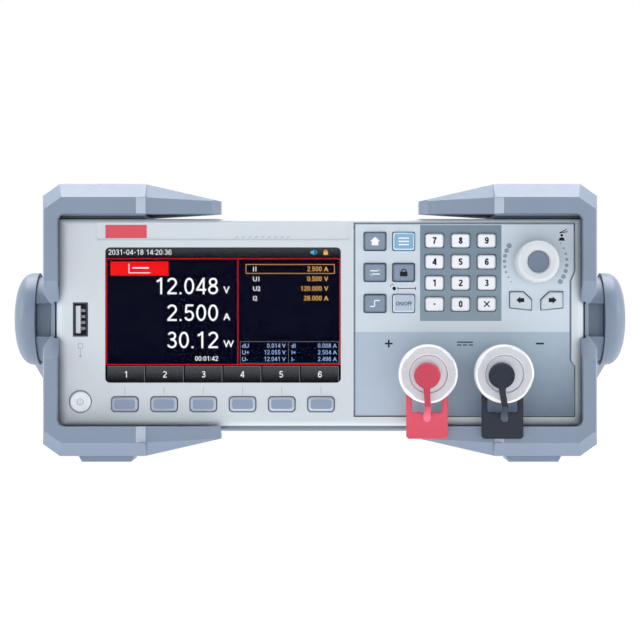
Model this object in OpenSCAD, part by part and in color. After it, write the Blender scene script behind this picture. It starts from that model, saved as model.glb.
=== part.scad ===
// Bench DC electronic load: half-rack case with corner bumpers, a swing handle, a colour display,
// a keypad, a rotary knob and two input posts. Millimetres, +Z up, the front faces -Y.
// The origin lies on the table under the middle of the whole object.

/* [Case] */
// Length of the case from the bezel to the outer face of the rear panel
case_l = 324; // [316:1:400]
// Thickness of the sheet metal
sheet_t = 1.2; // [0.8:0.1:2]
// Height of the case bottom above the table
case_lift = 13; // [13:0.5:20]
// Gap between pieces that fit into each other
fit_gap = 0.15; // [0.1:0.05:0.3]
// Gap round the connectors in the rear panel
cut_gap = 0.3; // [0.2:0.05:0.6]

/* [Bezel] */
// Depth of the bezel from its face to the case
bezel_d = 12; // [11.5:0.5:16]
// Wall thickness of the bezel
bezel_t = 2.5; // [2:0.1:2.6]
// Height of the bezel bottom above the case bottom
bezel_rise = 1.8; // [1:0.1:2.2]
// Rounding of the upright front edges
bezel_side_r = 5; // [3:0.5:6]
// Rounding of the level front edges
bezel_edge_r = 2.2; // [1:0.1:3]
// Rounding of the corners seen from the front
bezel_corner_r = 3; // [2:0.5:5]

/* [Display] */
// Width of the visible screen
screen_w = 95; // [80:0.5:110]
// Height of the visible screen
screen_h = 54.6; // [48:0.2:64]
// Distance from the left side of the bezel to the screen
screen_inset = 20.2; // [19.8:0.1:26]
// Distance from the screen to the control panel
screen_gap = 5.5; // [5.2:0.1:12]
// Distance from the screen to the name strip above it
screen_over = 2.9; // [2.8:0.1:6]
// Distance from the screen to the softkeys below it
screen_under = 5.8; // [5:0.1:9]
// Thickness of the display window
window_t = 1.2; // [0.8:0.1:1.4]
// Depth of the window front behind the bezel face
window_sink = 1.6; // [1.2:0.1:1.7]
// Thickness of the display module
lcd_t = 3.5; // [2.5:0.1:3.8]

/* [Name strip] */
// Width of the plain strip above the screen
strip_w = 102.3; // [80:0.1:104]
// Distance from the strip to the top of the bezel
strip_margin = 1.7; // [1.5:0.1:4]
// Height of the strip
strip_h = 6.9; // [5:0.1:7]
// Depth of the strip pocket
strip_sink = 0.4; // [0.2:0.1:0.8]

/* [Control panel] */
// Distance from its right side to the right side of the bezel
panel_inset = 4.3; // [4.2:0.1:6]
// Distance from its top to the top of the bezel
panel_over = 1.9; // [1.5:0.1:4]
// Distance from its bottom to the bottom of the bezel
panel_under = 4; // [2.8:0.1:6]
// Thickness of the control panel
panel_t = 3.5; // [3:0.1:3.6]
// Depth of its face behind the bezel face
panel_sink = 0.3; // [0:0.1:0.4]
// Width of the groove around it
panel_groove = 0.35; // [0.2:0.05:0.5]
// Depth of the step in its right side
panel_jog = 1.6; // [0.5:0.1:3]

/* [Keys] */
// Press of every key
key_travel = 0.8; // [0.3:0.1:0.8]
// Gap between a key and its hole
key_gap = 0.35; // [0.15:0.05:0.4]
// Height of the key faces above the panel
key_rise = 1.3; // [0.8:0.1:2]
// Width of a softkey
softkey_w = 10.3; // [8:0.1:12]
// Height of a softkey
softkey_h = 5.6; // [4.5:0.1:7]
// Distance from the softkeys to the bottom of the bezel
softkey_margin = 6; // [5:0.1:9]
// Width of a function key
function_w = 8.6; // [7:0.1:10]
// Height of a function key
function_h = 7.1; // [5:0.1:9]
// Space between the function keys, across
function_gap = 2.95; // [2.4:0.05:5]
// Space between the function keys, upwards
function_row_gap = 5.4; // [2.4:0.1:6]
// Width of a keypad key
digit_w = 7.2; // [5:0.1:8]
// Height of a keypad key
digit_h = 5.5; // [4:0.1:6]
// Space between the keypad keys, across
digit_gap = 3.3; // [2.4:0.1:5]
// Space between the keypad keys, upwards
digit_row_gap = 3.03; // [2.4:0.01:4]
// Distance from the function keys to the left side of the panel
key_margin = 3.95; // [3.5:0.05:6]
// Distance from the keys to the top of the panel
key_top = 3.7; // [3.5:0.1:6]
// Distance from the function keys to the keypad
keypad_space = 4.5; // [3:0.05:8]
// Distance from the keypad to the arrow keys
arrow_space = 5.8; // [3:0.05:10]
// Width of an arrow key
arrow_w = 8.6; // [6:0.1:9]
// Height of an arrow key
arrow_h = 7.2; // [5:0.1:8]
// Space between the arrow keys
arrow_gap = 4; // [2.4:0.1:8]
// Distance from the arrow keys to the right side of the panel
arrow_margin = 4.8; // [4.4:0.1:8]
// Distance from the arrow keys to the knob
arrow_drop = 3.3; // [2:0.1:6]
// Diameter of the power button
power_d = 8.5; // [6:0.1:9]

/* [Knob] */
// Diameter of the knob
knob_d = 17.4; // [14:0.1:20]
// Distance from the knob to the top of the panel
knob_top = 6.9; // [4:0.1:9]
// Height of the knob above the bezel face
knob_h = 13; // [11:0.1:16]
// Push of the knob
knob_push = 0.5; // [0.2:0.1:0.6]
// Diameter of the dimple in its face
dimple_d = 8.8; // [5:0.1:11]
// Diameter of the encoder shaft
shaft_d = 4; // [3:0.1:5]

/* [Input posts] */
// Spacing of the two posts
post_pitch = 30; // [27:0.5:34]
// Diameter of the post collar
collar_d = 19; // [17.5:0.5:20]
// Height of the post collar
collar_h = 9.3; // [8.8:0.1:12]
// Diameter of the neck that the fork slides over
neck_d = 11.2; // [9:0.1:11.4]
// Diameter of the threaded core
core_d = 14.8; // [13.5:0.1:15]
// Diameter of the clamp nut
nut_d = 23.2; // [21:0.1:26]
// Distance from the clamp nuts to the bottom of the panel
nut_margin = 5.9; // [4:0.1:8]
// Length of the clamp nut
nut_l = 9.3; // [8:0.1:12]
// Length that the clamp nut unscrews
nut_travel = 2.5; // [0.5:0.1:2.5]
// Diameter of the banana socket
socket_d = 4.1; // [4:0.1:4.2]
// Diameter of the plug cap
cap_d = 10.2; // [8:0.1:10.4]
// Thickness of the plug cap
cap_t = 3.4; // [2.5:0.1:4]
// Thickness of the soft fork
fork_t = 1.6; // [1:0.1:1.8]
// Width of the soft fork
fork_w = 16.6; // [15.6:0.1:18]
// Width of the strap
strap_w = 2.2; // [1.6:0.1:3]

/* [Bumpers] */
// Reach of the front bumpers in front of the bezel
bumper_proud = 8; // [6.5:0.1:8.2]
// Thickness of the bumper outside the case side
bumper_side = 4.6; // [4:0.1:6]
// Height of the bumper above the case top
bumper_over = 13.8; // [12:0.1:18]
// Height of the moulded feet
foot_h = 2.7; // [1.5:0.1:2.9]
// Length of the front bumper behind the bezel face
bumper_back = 54; // [52:1:60]
// Length of the rear bumper in front of the rear panel
rear_bumper_l = 40; // [30:1:60]

/* [Handle] */
// Distance of the handle axis behind the bezel face
pivot_d = 32; // [32:0.5:33]
// Height of the handle axis above the middle of the bumpers
pivot_rise = 0.4; // [0:0.1:2]
// Diameter of the handle hub
hub_d = 38.4; // [35.6:0.2:42]
// Thickness of the handle hub
hub_t = 10; // [8:0.1:12]
// Diameter of the pivot boss
boss_d = 35; // [30:0.5:35]
// Length of the pivot boss outside the case
boss_l = 9.6; // [8:0.1:12]
// Thickness of the handle arms
arm_t = 6.2; // [5:0.1:7]
// Distance from the handle axis to the middle of the grip
handle_reach = 178; // [150:1:220]
// Width of the grip
grip_w = 22; // [16:0.5:28]
// Thickness of the grip
grip_t = 9.4; // [7:0.1:9.6]

/* [Inside] */
// Size of the square fan
fan_w = 60; // [50:1:68]
// Distance from the fan to the right side of the case
fan_inset = 25; // [15:1:40]
// Depth of the fan
fan_t = 25; // [20:1:30]
// Height of the heat sink
sink_h = 66; // [50:1:74]
// Length of the heat sink
sink_l = 130; // [80:1:140]
// Width of the heat sink
sink_w = 93; // [70:1:98]
// Distance from the heat sink to the right side of the case
sink_inset = 14; // [8:1:20]
// Gap between the fan and the heat sink
duct_gap = 8; // [4:1:20]
// Height of the mains transformer
core_h = 52; // [40:1:60]
// Width of the mains transformer
core_w = 50; // [40:1:60]
// Depth of its core
core_l = 26; // [20:1:32]
// Reach of its winding out of the core
winding = 12; // [8:1:16]
// Distance from the transformer core to the bezel
core_inset = 48; // [30:1:60]
// Distance from the inner face of the heat sink to the transformer
core_offset = 30; // [24:1:36]
// Height of the power transistors
transistor_h = 24; // [18:0.5:28]
// Width of the power transistors
transistor_w = 15.8; // [12:0.2:18]
// Thickness of the power transistors
transistor_t = 5; // [4:0.2:6]
// Distance from the main board to the left side of the case
board_inset = 9; // [5:1:14]
// Distance from the main board to the bezel
board_front = 50; // [30:1:70]
// Distance from the main board to the rear end of the case
board_rear = 38; // [30:1:60]
// Height of the stand-offs under the main board
standoff_h = 7; // [4:0.5:12]

/* [Rear connectors] */
// Width of the mains inlet
inlet_w = 27; // [24:0.5:30]
// Height of the mains inlet
inlet_h = 19.8; // [18:0.2:24]
// Depth of the mains inlet behind the rear panel
inlet_l = 24; // [20:0.5:30]
// Distance from the middle of the inlet to the left side of the case
inlet_inset = 41; // [30:1:50]
// Width of the serial port
port_w = 18.6; // [16:0.2:22]
// Height of the serial port
port_h = 9.6; // [8:0.2:12]
// Width of the sense terminals
sense_w = 26; // [20:0.5:28]
// Height of the sense terminals
sense_h = 10; // [8:0.2:12]
// Distance from the middle of port and terminals to the fan
port_space = 42; // [34:1:50]
// Height of the port above the middle of the case
port_rise = 16; // [12:0.5:24]
// Depth of the terminals below the middle of the case
sense_drop = 14; // [12:0.5:24]

/* [Hidden] */
$fn = 48;
panel_w = key_margin + 2 * function_w + function_gap + keypad_space + 3 * digit_w + 2 * digit_gap
    + arrow_space + 2 * arrow_w + arrow_gap + arrow_margin;
bezel_w = screen_inset + screen_w + screen_gap + panel_w + panel_inset;
bezel_h = strip_margin + strip_h + screen_over + screen_h + screen_under + softkey_h + softkey_margin;
panel_h = bezel_h - panel_over - panel_under;
case_w = bezel_w + 0.4;
case_h = bezel_h + bezel_rise + 0.2;
case_top = case_lift + case_h;
case_end = bezel_d + case_l;
bezel_z = case_lift + bezel_rise + bezel_h / 2;
screen_x = -bezel_w / 2 + screen_inset + screen_w / 2;
strip_z = bezel_h / 2 - strip_margin - strip_h / 2;
screen_z = strip_z - strip_h / 2 - screen_over - screen_h / 2;
softkey_z = softkey_margin + softkey_h / 2 - bezel_h / 2;
softkey_pitch = (screen_w - 0.2) / 6;
column_x = -bezel_w / 2 + 10.3;
panel_x = bezel_w / 2 - panel_inset - panel_w / 2;
panel_z = (panel_under - panel_over) / 2;
panel_left = panel_x - panel_w / 2;
panel_top = panel_z + panel_h / 2;
usb_z = 1.15;
power_z = softkey_z + 1;
board_out = -9.2;
board_t = 1.6;
stem_out = board_out + 3.1 + key_travel;
knob_x = panel_x + panel_w / 2 - arrow_margin - arrow_w - arrow_gap / 2 - 0.3;
knob_z = panel_top - knob_top - knob_d / 2;
post_x = panel_x - 0.6;
post_z = panel_z - panel_h / 2 + nut_margin + nut_d / 2;
fork_out = collar_h + 0.05;
core_out = fork_out + fork_t + 0.05;
washer_t = 1.2;
nut_out = core_out + washer_t + 0.05;
nut_face = nut_out + nut_l;
core_face = nut_face - 0.7;
cap_out = core_face + 1.4;
cap_lean = 12;
strap_out = nut_face + nut_travel + 0.3;
strap_t = 1.3;
cap_r = 0.9;
front_reach = cap_out + (cap_t - cap_r) * cos(cap_lean) + (cap_d / 2 - cap_r) * sin(cap_lean) + cap_r;
rear_proud = 8;
face_y = (front_reach - case_end - rear_proud) / 2;
bumper_x = case_w / 2 + bumper_side;
bumper_half = (case_top + bumper_over - foot_h) / 2;
bumper_z = foot_h + bumper_half;
lip_x = bumper_x - 6.5;
lip_half = bumper_half - 12.2;
rib_x = bumper_x - 41.2;
tip_x = rib_x - 30.6;
boss_x = case_w / 2 + boss_l;
hub_x = boss_x + 0.2;
pivot_z = bumper_z + pivot_rise;
grip_z = (case_lift - 1) / 2 + 0.8;
fan_x = case_w / 2 - fan_inset - fan_w / 2;
fan_z = case_lift + case_h / 2;
fan_y = case_end - sheet_t - fan_t;
sink_x = case_w / 2 - sink_inset - sink_w;
sink_y = fan_y - duct_gap - sink_l;
board_x = -case_w / 2 + board_inset;
board_y = bezel_d + board_front;
board_w = sink_x - 2 - board_x;
board_l = case_l - board_front - board_rear;
board_z = case_lift + sheet_t + standoff_h;
inlet_x = -case_w / 2 + inlet_inset;
port_x = fan_x - fan_w / 2 - port_space;

keypad_x = panel_left + key_margin + 2 * function_w + function_gap + keypad_space;
COLUMNS = [for (i = [0:1]) panel_left + key_margin + function_w / 2 + (function_w + function_gap) * i];
ROWS = [for (i = [0:2]) panel_top - key_top - function_h / 2 - (function_h + function_row_gap) * i];
DIGIT_X = [for (i = [0:2]) keypad_x + digit_w / 2 + (digit_w + digit_gap) * i];
DIGIT_Z = [for (i = [0:3]) panel_top - key_top - 0.45 - digit_h / 2 - (digit_h + digit_row_gap) * i];
FUNCTION_NAMES = ["home_key", "menu_key", "mode_key", "lock_key", "trigger_key", "input_key"];
DIGIT_NAMES = ["key_7", "key_8", "key_9", "key_4", "key_5", "key_6",
               "key_1", "key_2", "key_3", "key_point", "key_0", "key_escape"];
SOFT_NAMES = [for (i = [1:6]) str("softkey_", i)];

// Every rectangular key: name, x, z, width, height, corner radius, depth of the wall behind it
KEYS = concat(
    [for (i = [0:5]) [SOFT_NAMES[i], screen_x + softkey_pitch * (i - 2.5), softkey_z,
                      softkey_w, softkey_h, 1.3, bezel_t, 0.95]],
    [for (i = [0:5]) [FUNCTION_NAMES[i], COLUMNS[i % 2], ROWS[floor(i / 2)],
                      function_w, function_h, 0.9, panel_sink + panel_t, 0.55]],
    [for (i = [0:11]) [DIGIT_NAMES[i], DIGIT_X[i % 3], DIGIT_Z[floor(i / 3)],
                       digit_w, digit_h, 1, panel_sink + panel_t, 0.5]]);
ARROW_X = panel_x + panel_w / 2 - arrow_margin - arrow_w - arrow_gap / 2;
ARROW_Z = knob_z - knob_d / 2 - arrow_drop - arrow_h / 2;

function arc(cx, cy, r, a0, a1, n = 6) =
    [for (i = [0:n]) let (a = a0 + (a1 - a0) * i / n) [cx + r * cos(a), cy + r * sin(a)]];

function round_box(w, h, r, n = 5) = concat(
    arc(w / 2 - r, h / 2 - r, r, 0, 90, n), arc(r - w / 2, h / 2 - r, r, 90, 180, n),
    arc(r - w / 2, r - h / 2, r, 180, 270, n), arc(w / 2 - r, r - h / 2, r, 270, 360, n));

// Outline around two discs of different size, the first at the origin
function link(r1, r2, dx, dy) =
    let (l = sqrt(dx * dx + dy * dy), t = atan2(dy, dx), a = acos((r1 - r2) / l))
    concat(arc(0, 0, r1, t + a, t + 360 - a, 18), arc(dx, dy, r2, t - a, t + a, 10));

// Drawing on the face of the bezel: X right, Y up, Z out of the face
module on_face() {
    translate([0, face_y, bezel_z])
        rotate([90, 0, 0])
            children();
}

// Prism between two heights out of the face
module slab(from, to) {
    translate([0, 0, from])
        linear_extrude(to - from)
            children();
}

// Prism along the depth of the case, drawn in X and Z
module along_depth(from, to) {
    translate([0, to, 0])
        rotate([90, 0, 0])
            linear_extrude(to - from)
                children();
}

// Prism along the width of the case, drawn in depth and Z
module along_width(from, to) {
    translate([from, 0, 0])
        rotate([90, 0, 90])
            linear_extrude(to - from)
                children();
}

module in_case() {
    translate([0, face_y, 0])
        children();
}

module bottom_chassis() {
    inner = case_w / 2 - sheet_t - fit_gap;
    color([0.42, 0.44, 0.47])
        in_case() {
            translate([-inner, bezel_d, case_lift])
                cube([2 * inner, case_l - sheet_t, sheet_t]);
            for (s = [-1, 1])
                translate([s * (inner - sheet_t / 2) - sheet_t / 2, bezel_d, case_lift])
                    cube([sheet_t, case_l - sheet_t, 20]);
            difference() {
                translate([-inner, bezel_d, case_lift])
                    cube([2 * inner, sheet_t, case_h - sheet_t - fit_gap]);
                translate([-inner + 9, bezel_d - 1, case_lift + 9])
                    cube([2 * inner - 18, sheet_t + 2, case_h - 18]);
            }
            for (x = [board_x + 6, board_x + board_w - 6], y = [board_y + 8, board_y + board_l - 8])
                translate([x, y, case_lift + sheet_t / 2])
                    cylinder(d = 6, h = standoff_h + sheet_t / 2);
        }
}

module vent_slot(l, w) {
    square([l - w, w], center = true);
    for (s = [-1, 1])
        translate([s * (l - w) / 2, 0])
            circle(d = w, $fn = 24);
}

module top_cover() {
    color([0.72, 0.75, 0.79])
        in_case()
            difference() {
                along_depth(bezel_d, case_end)
                    difference() {
                        translate([-case_w / 2, case_lift])
                            square([case_w, case_h]);
                        translate([-case_w / 2 + sheet_t, case_lift - 1])
                            square([case_w - 2 * sheet_t, case_h - sheet_t + 1]);
                    }
                along_width(-case_w / 2 - 1, case_w / 2 + 1)
                    for (i = [0:13])
                        translate([bezel_d + 84 + 9 * i, case_top - 37.5])
                            rotate(90)
                                vent_slot(34, 3.6);
            }
}

module rear_panel() {
    inner = case_w / 2 - sheet_t - fit_gap;
    r = fan_w / 2 - 3;
    color([0.6, 0.63, 0.67])
        in_case()
            difference() {
                translate([-inner, case_end - sheet_t, case_lift])
                    cube([2 * inner, sheet_t, case_h - sheet_t - fit_gap]);
                along_depth(case_end - sheet_t - 1, case_end + 1) {
                    translate([inlet_x, fan_z])
                        square([inlet_w + 2 * cut_gap, inlet_h + 2 * cut_gap], center = true);
                    translate([port_x, fan_z + port_rise])
                        square([port_w + 2 * cut_gap, port_h + 2 * cut_gap], center = true);
                    translate([port_x, fan_z - sense_drop])
                        square([sense_w + 2 * cut_gap, sense_h + 2 * cut_gap], center = true);
                    for (i = [-4:4], s = [-1, 1])
                        translate([fan_x + s * (1.5 + sqrt(r * r - 36 * i * i) / 2), fan_z + 6 * i])
                            square([sqrt(r * r - 36 * i * i) - 1.5, 3.6], center = true);
                }
            }
}

module bezel_form() {
    w = bezel_w / 2;
    h = bezel_h / 2;
    intersection() {
        slab(-bezel_d, 0)
            polygon(round_box(bezel_w, bezel_h, bezel_corner_r, 6));
        translate([0, h + 1, 0])
            rotate([90, 0, 0])
                linear_extrude(bezel_h + 2)
                    polygon(concat([[-w - 1, -bezel_d - 1], [w + 1, -bezel_d - 1], [w + 1, -bezel_side_r]],
                        arc(w - bezel_side_r, -bezel_side_r, bezel_side_r, 0, 90, 7),
                        arc(bezel_side_r - w, -bezel_side_r, bezel_side_r, 90, 180, 7),
                        [[-w - 1, -bezel_side_r]]));
        translate([-w - 1, 0, 0])
            rotate([90, 0, 90])
                linear_extrude(bezel_w + 2)
                    polygon(concat([[-h - 1, -bezel_d - 1], [h + 1, -bezel_d - 1], [h + 1, -bezel_edge_r]],
                        arc(h - bezel_edge_r, -bezel_edge_r, bezel_edge_r, 0, 90, 5),
                        arc(bezel_edge_r - h, -bezel_edge_r, bezel_edge_r, 90, 180, 5),
                        [[-h - 1, -bezel_edge_r]]));
    }
}

// Outline of the control panel with the stepped right side
module panel_outline(grow = 0) {
    w = panel_w / 2;
    h = panel_h / 2;
    translate([panel_x, panel_z])
        polygon([[-w - grow, -h - grow], [w + grow, -h - grow], [w + grow, 20.2 - h],
                 [w - panel_jog + grow, 22.2 - h], [w - panel_jog + grow, h - 23], [w + grow, h - 19.2],
                 [w + grow, h + grow], [-w - grow, h + grow]]);
}

module front_bezel() {
    color([0.8, 0.84, 0.88])
        on_face() {
            difference() {
                bezel_form();
                slab(-bezel_d - 1, -bezel_t)
                    square([bezel_w - 2 * bezel_t, bezel_h - 2 * bezel_t], center = true);
                slab(-bezel_t - 1, 1)
                    translate([screen_x, screen_z])
                        polygon(round_box(screen_w, screen_h, 1.8));
                slab(-bezel_t - 1, -window_sink)
                    translate([screen_x, screen_z])
                        square([screen_w + 4, screen_h + 4], center = true);
                slab(-strip_sink, 1)
                    translate([screen_x, strip_z])
                        polygon(round_box(strip_w, strip_h, 1.2));
                slab(-bezel_t - 1.6, 1)
                    panel_outline(panel_groove);
                for (k = [0:5])
                    slab(-bezel_t - 1, 1)
                        translate([KEYS[k][1], KEYS[k][2]])
                            polygon(round_box(softkey_w + 2 * key_gap, softkey_h + 2 * key_gap, 1.5));
                for (k = [0:5])
                    slab(-0.5, 1)
                        translate([KEYS[k][1], KEYS[k][2]])
                            polygon(round_box(softkey_w + 1.1, softkey_h + 1.3, 1.9));
                translate([column_x, power_z, -bezel_t - 1])
                    cylinder(d = power_d + 2 * key_gap, h = bezel_t + 2);
                slab(-bezel_t - 1, 1)
                    translate([column_x, usb_z])
                        square([6.1, 13.8], center = true);
            }
            for (z = [bezel_h / 2 - 6.75, 21.75 - bezel_h / 2])
                translate([-bezel_w / 2 + 5.3, z, board_out])
                    cylinder(d = 5, h = -board_out - bezel_t + 0.5);
        }
}

module arrow_outline(side, grow = 0) {
    w = arrow_w / 2 + grow;
    h = arrow_h / 2 + grow;
    translate([ARROW_X + side * (arrow_w + arrow_gap) / 2, ARROW_Z])
        scale([side, 1])
            polygon([[w, h - 0.3], [w - 0.3, h], [-w + 3.4, h], [-w, h - 3.2],
                     [-w, -h + 0.2], [-w + 0.4, -h], [w - 0.3, -h + 0.9], [w, -h + 1.2]]);
}

module control_panel() {
    back = -panel_sink - panel_t;
    color([0.7, 0.75, 0.8])
        on_face() {
            difference() {
                union() {
                    slab(back, -panel_sink)
                        panel_outline();
                    slab(back, -bezel_t - 0.05)
                        translate([panel_x, panel_z])
                            square([panel_w + 2.6, panel_h - 4], center = true);
                }
                for (k = [6:23])
                    slab(back - 1, 1)
                        translate([KEYS[k][1], KEYS[k][2]])
                            polygon(round_box(KEYS[k][3] + 2 * key_gap, KEYS[k][4] + 2 * key_gap,
                                              KEYS[k][5]));
                for (s = [-1, 1])
                    slab(back - 1, 1)
                        arrow_outline(s, key_gap);
                translate([knob_x, knob_z, back - 1])
                    cylinder(d = shaft_d + 3.6, h = panel_t + 3);
                for (s = [-1, 1])
                    translate([post_x + s * post_pitch / 2, post_z, back - 1])
                        cylinder(d = 10.4, h = panel_t + 3);
            }
            for (z = [panel_top - panel_h + 7.75, panel_top - 5.85])
                translate([panel_x + panel_w / 2 - 4.3, z, board_out])
                    cylinder(d = 5, h = -board_out + back + 0.5);
        }
}

module display_window() {
    color([0.05, 0.06, 0.1])
        on_face()
            slab(-window_sink - window_t, -window_sink)
                translate([screen_x, screen_z])
                    square([screen_w + 4 - 2 * fit_gap, screen_h + 4 - 2 * fit_gap], center = true);
}

module lcd_module() {
    back = -window_sink - window_t - 0.1 - lcd_t;
    color([0.75, 0.76, 0.78])
        on_face() {
            difference() {
                slab(back, -window_sink - window_t - 0.1)
                    translate([screen_x - 1.25, screen_z + 2.15])
                        square([screen_w + 9.5, screen_h + 11], center = true);
                slab(-window_sink - window_t - 0.6, 1)
                    translate([screen_x, screen_z])
                        square([screen_w + 1, screen_h + 1], center = true);
            }
            slab(board_out, back)
                for (s = [-1, 1])
                    translate([screen_x + s * 36, screen_z])
                        square([5, 20], center = true);
        }
}

module switch(x, z) {
    translate([x, z, board_out - 0.1]) {
        translate([-2.5, -2.5, 0])
            cube([5, 5, 2.3]);
        cylinder(d = 2.4, h = 3.1, $fn = 24);
    }
}

module front_board() {
    color([0.1, 0.35, 0.22])
        on_face() {
            difference() {
                slab(board_out - board_t, board_out)
                    square([bezel_w - 2 * bezel_t - 4, bezel_h - 2 * bezel_t - 2], center = true);
                for (s = [-1, 1])
                    translate([post_x + s * post_pitch / 2, post_z, board_out - board_t - 1])
                        cylinder(d = 14, h = board_t + 2);
                slab(board_out - board_t - 1, board_out + 1)
                    translate([column_x, usb_z])
                        square([5.6 + 2 * fit_gap, 13.3 + 2 * fit_gap], center = true);
            }
            for (k = KEYS)
                switch(k[1], k[2]);
            for (s = [-1, 1])
                switch(ARROW_X + s * (arrow_w + arrow_gap) / 2, ARROW_Z);
            switch(column_x, power_z);
        }
}

// Key cap with a bevelled face, a flange behind the wall and a stem to the switch
module key(k) {
    wall = k[6];
    out = wall > bezel_t ? key_rise - panel_sink : key_rise - 0.1;
    translate([k[1], k[2], 0]) {
        hull() {
            slab(out - 0.01, out)
                polygon(round_box(k[3] - 2 * k[7], k[4] - 2 * k[7], max(0.3, k[5] - 0.3), 3));
            slab(-wall, out - k[7] * 0.8)
                polygon(round_box(k[3], k[4], k[5], 3));
        }
        slab(-wall - 0.9, -wall - 0.1)
            square([k[3] + 1.6, k[4] + 1.6], center = true);
        slab(-wall - 0.5, -wall + 0.5)
            square([k[3] - 2, k[4] - 2], center = true);
        slab(stem_out, -wall - 0.5)
            square([3, 3], center = true);
    }
}

module arrow_key(side) {
    wall = panel_sink + panel_t;
    on_face() {
        hull() {
            slab(key_rise - panel_sink - 0.01, key_rise - panel_sink)
                arrow_outline(side, -0.5);
            slab(-wall, key_rise - panel_sink - 0.4)
                arrow_outline(side);
        }
        slab(-wall - 0.9, -wall - 0.1)
            translate([ARROW_X + side * (arrow_w + arrow_gap) / 2, ARROW_Z])
                square([arrow_w + 1.6, arrow_h + 1.6], center = true);
        slab(stem_out, -wall + 0.5)
            translate([ARROW_X + side * (arrow_w + arrow_gap) / 2, ARROW_Z])
                square([3, 3], center = true);
    }
}

module arrow_left() {
    color([0.55, 0.62, 0.72])
        arrow_key(-1);
}

module arrow_right() {
    color([0.55, 0.62, 0.72])
        arrow_key(1);
}

module power_button() {
    r = power_d / 2;
    color([0.82, 0.86, 0.9])
        on_face()
            translate([column_x, power_z, 0])
                rotate_extrude()
                    polygon(concat([[0, stem_out], [1.5, stem_out], [1.5, -bezel_t - 0.9],
                        [r + 0.8, -bezel_t - 0.9], [r + 0.8, -bezel_t - 0.1], [r, -bezel_t - 0.1]],
                        arc(r - 0.8, key_rise - 0.8, 0.8, 0, 90, 5), [[0, key_rise - 0.3]]));
}

module usb_socket() {
    color([0.78, 0.79, 0.8])
        on_face()
            translate([column_x, usb_z, 0]) {
                difference() {
                    slab(-11.6, -0.2)
                        square([5.6, 13.3], center = true);
                    slab(-10, 1)
                        square([4.8, 12.5], center = true);
                }
                slab(-10.4, -1.4)
                    translate([-1.05, 0])
                        square([1.9, 11.2], center = true);
            }
}

module knob_encoder() {
    color([0.3, 0.32, 0.34])
        on_face()
            translate([knob_x, knob_z, 0])
                difference() {
                    union() {
                        slab(board_out, -panel_sink - panel_t - 0.6)
                            square([12.4, 13], center = true);
                        translate([0, 0, -panel_sink - panel_t - 1])
                            cylinder(d = shaft_d + 3.2, h = panel_t + 2.2);
                    }
                    translate([0, 0, board_out + 1.2])
                        cylinder(d = shaft_d + 2 * fit_gap, h = 20);
                }
}

module encoder_shaft() {
    color([0.75, 0.76, 0.78])
        on_face()
            translate([knob_x, knob_z, 0])
                difference() {
                    translate([0, 0, board_out + 1.4])
                        cylinder(d = shaft_d, h = knob_h - 4.6 - board_out);
                    translate([-5, shaft_d * 0.3, 2.2])
                        cube([10, 5, 20]);
                }
}

module knob() {
    r = knob_d / 2;
    d = dimple_d / 2;
    color([0.92, 0.93, 0.94])
        on_face()
            translate([knob_x, knob_z, 0])
                difference() {
                    rotate_extrude($fn = 96)
                        polygon(concat([[0, 1.2], [r - 0.5, 1.2], [r, 1.7]],
                            arc(r - 2.1, knob_h - 1.8, 1.8, 0, 90, 7),
                            [[d + 0.5, knob_h - 0.3], [d, knob_h - 1.1], [d * 0.5, knob_h - 1.5],
                             [0, knob_h - 1.6]]));
                    cylinder(d = shaft_d + 4, h = 2.6 + knob_push);
                    difference() {
                        cylinder(d = shaft_d + 2 * fit_gap, h = knob_h - 2.5);
                        translate([-5, shaft_d * 0.3 + fit_gap, 0])
                            cube([10, 5, 30]);
                    }
                }
}

module at_post(side) {
    on_face()
        translate([post_x + side * post_pitch / 2, post_z, 0])
            children();
}

module post(side) {
    at_post(side)
        difference() {
            rotate_extrude()
                polygon([[0, -24], [4, -24], [4, -panel_sink - panel_t - 3], [5, -panel_sink - panel_t - 3],
                         [5, -panel_sink], [collar_d / 2, -panel_sink], [collar_d / 2, collar_h - 0.6],
                         [collar_d / 2 - 0.6, collar_h], [neck_d / 2, collar_h], [neck_d / 2, core_out],
                         [core_d / 2, core_out], [core_d / 2, core_face - 0.4],
                         [core_d / 2 - 0.4, core_face], [0, core_face]]);
            translate([0, 0, core_face - 14])
                cylinder(d = socket_d, h = 20, $fn = 32);
        }
}

module positive_post() {
    color([0.89, 0.9, 0.93])
        post(-1);
}

module negative_post() {
    color([0.89, 0.9, 0.93])
        post(1);
}

module washer(side) {
    at_post(side)
        translate([0, 0, core_out])
            difference() {
                cylinder(d = core_d + 4.4, h = washer_t);
                translate([0, 0, -1])
                    cylinder(d = core_d + 0.4, h = washer_t + 2);
            }
}

module positive_washer() {
    color([0.75, 0.7, 0.5])
        washer(-1);
}

module negative_washer() {
    color([0.75, 0.7, 0.5])
        washer(1);
}

// Round clamp nut with a rolled rim, a face groove and four sloped flats for the fingers
module nut(side, phase) {
    r = nut_d / 2;
    b = core_d / 2 + 0.2;
    at_post(side)
        translate([0, 0, nut_out])
            difference() {
                rotate_extrude($fn = 96)
                    polygon(concat([[b, 0], [r - 0.6, 0], [r, 0.6]],
                        arc(r - 1.2, nut_l - 1.2, 1.2, 0, 90, 5), [[b + 0.4, nut_l], [b, nut_l - 0.4]]));
                for (i = [0:3])
                    rotate(phase + 90 * i)
                        translate([r - 1.3, 0, nut_l])
                            rotate([0, -20, 0])
                                translate([0, -10, -12])
                                    cube([6, 20, 16]);
            }
}

module positive_nut() {
    color([0.89, 0.9, 0.93])
        nut(-1, 45);
}

module negative_nut() {
    color([0.89, 0.9, 0.93])
        nut(1, 63);
}

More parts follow.
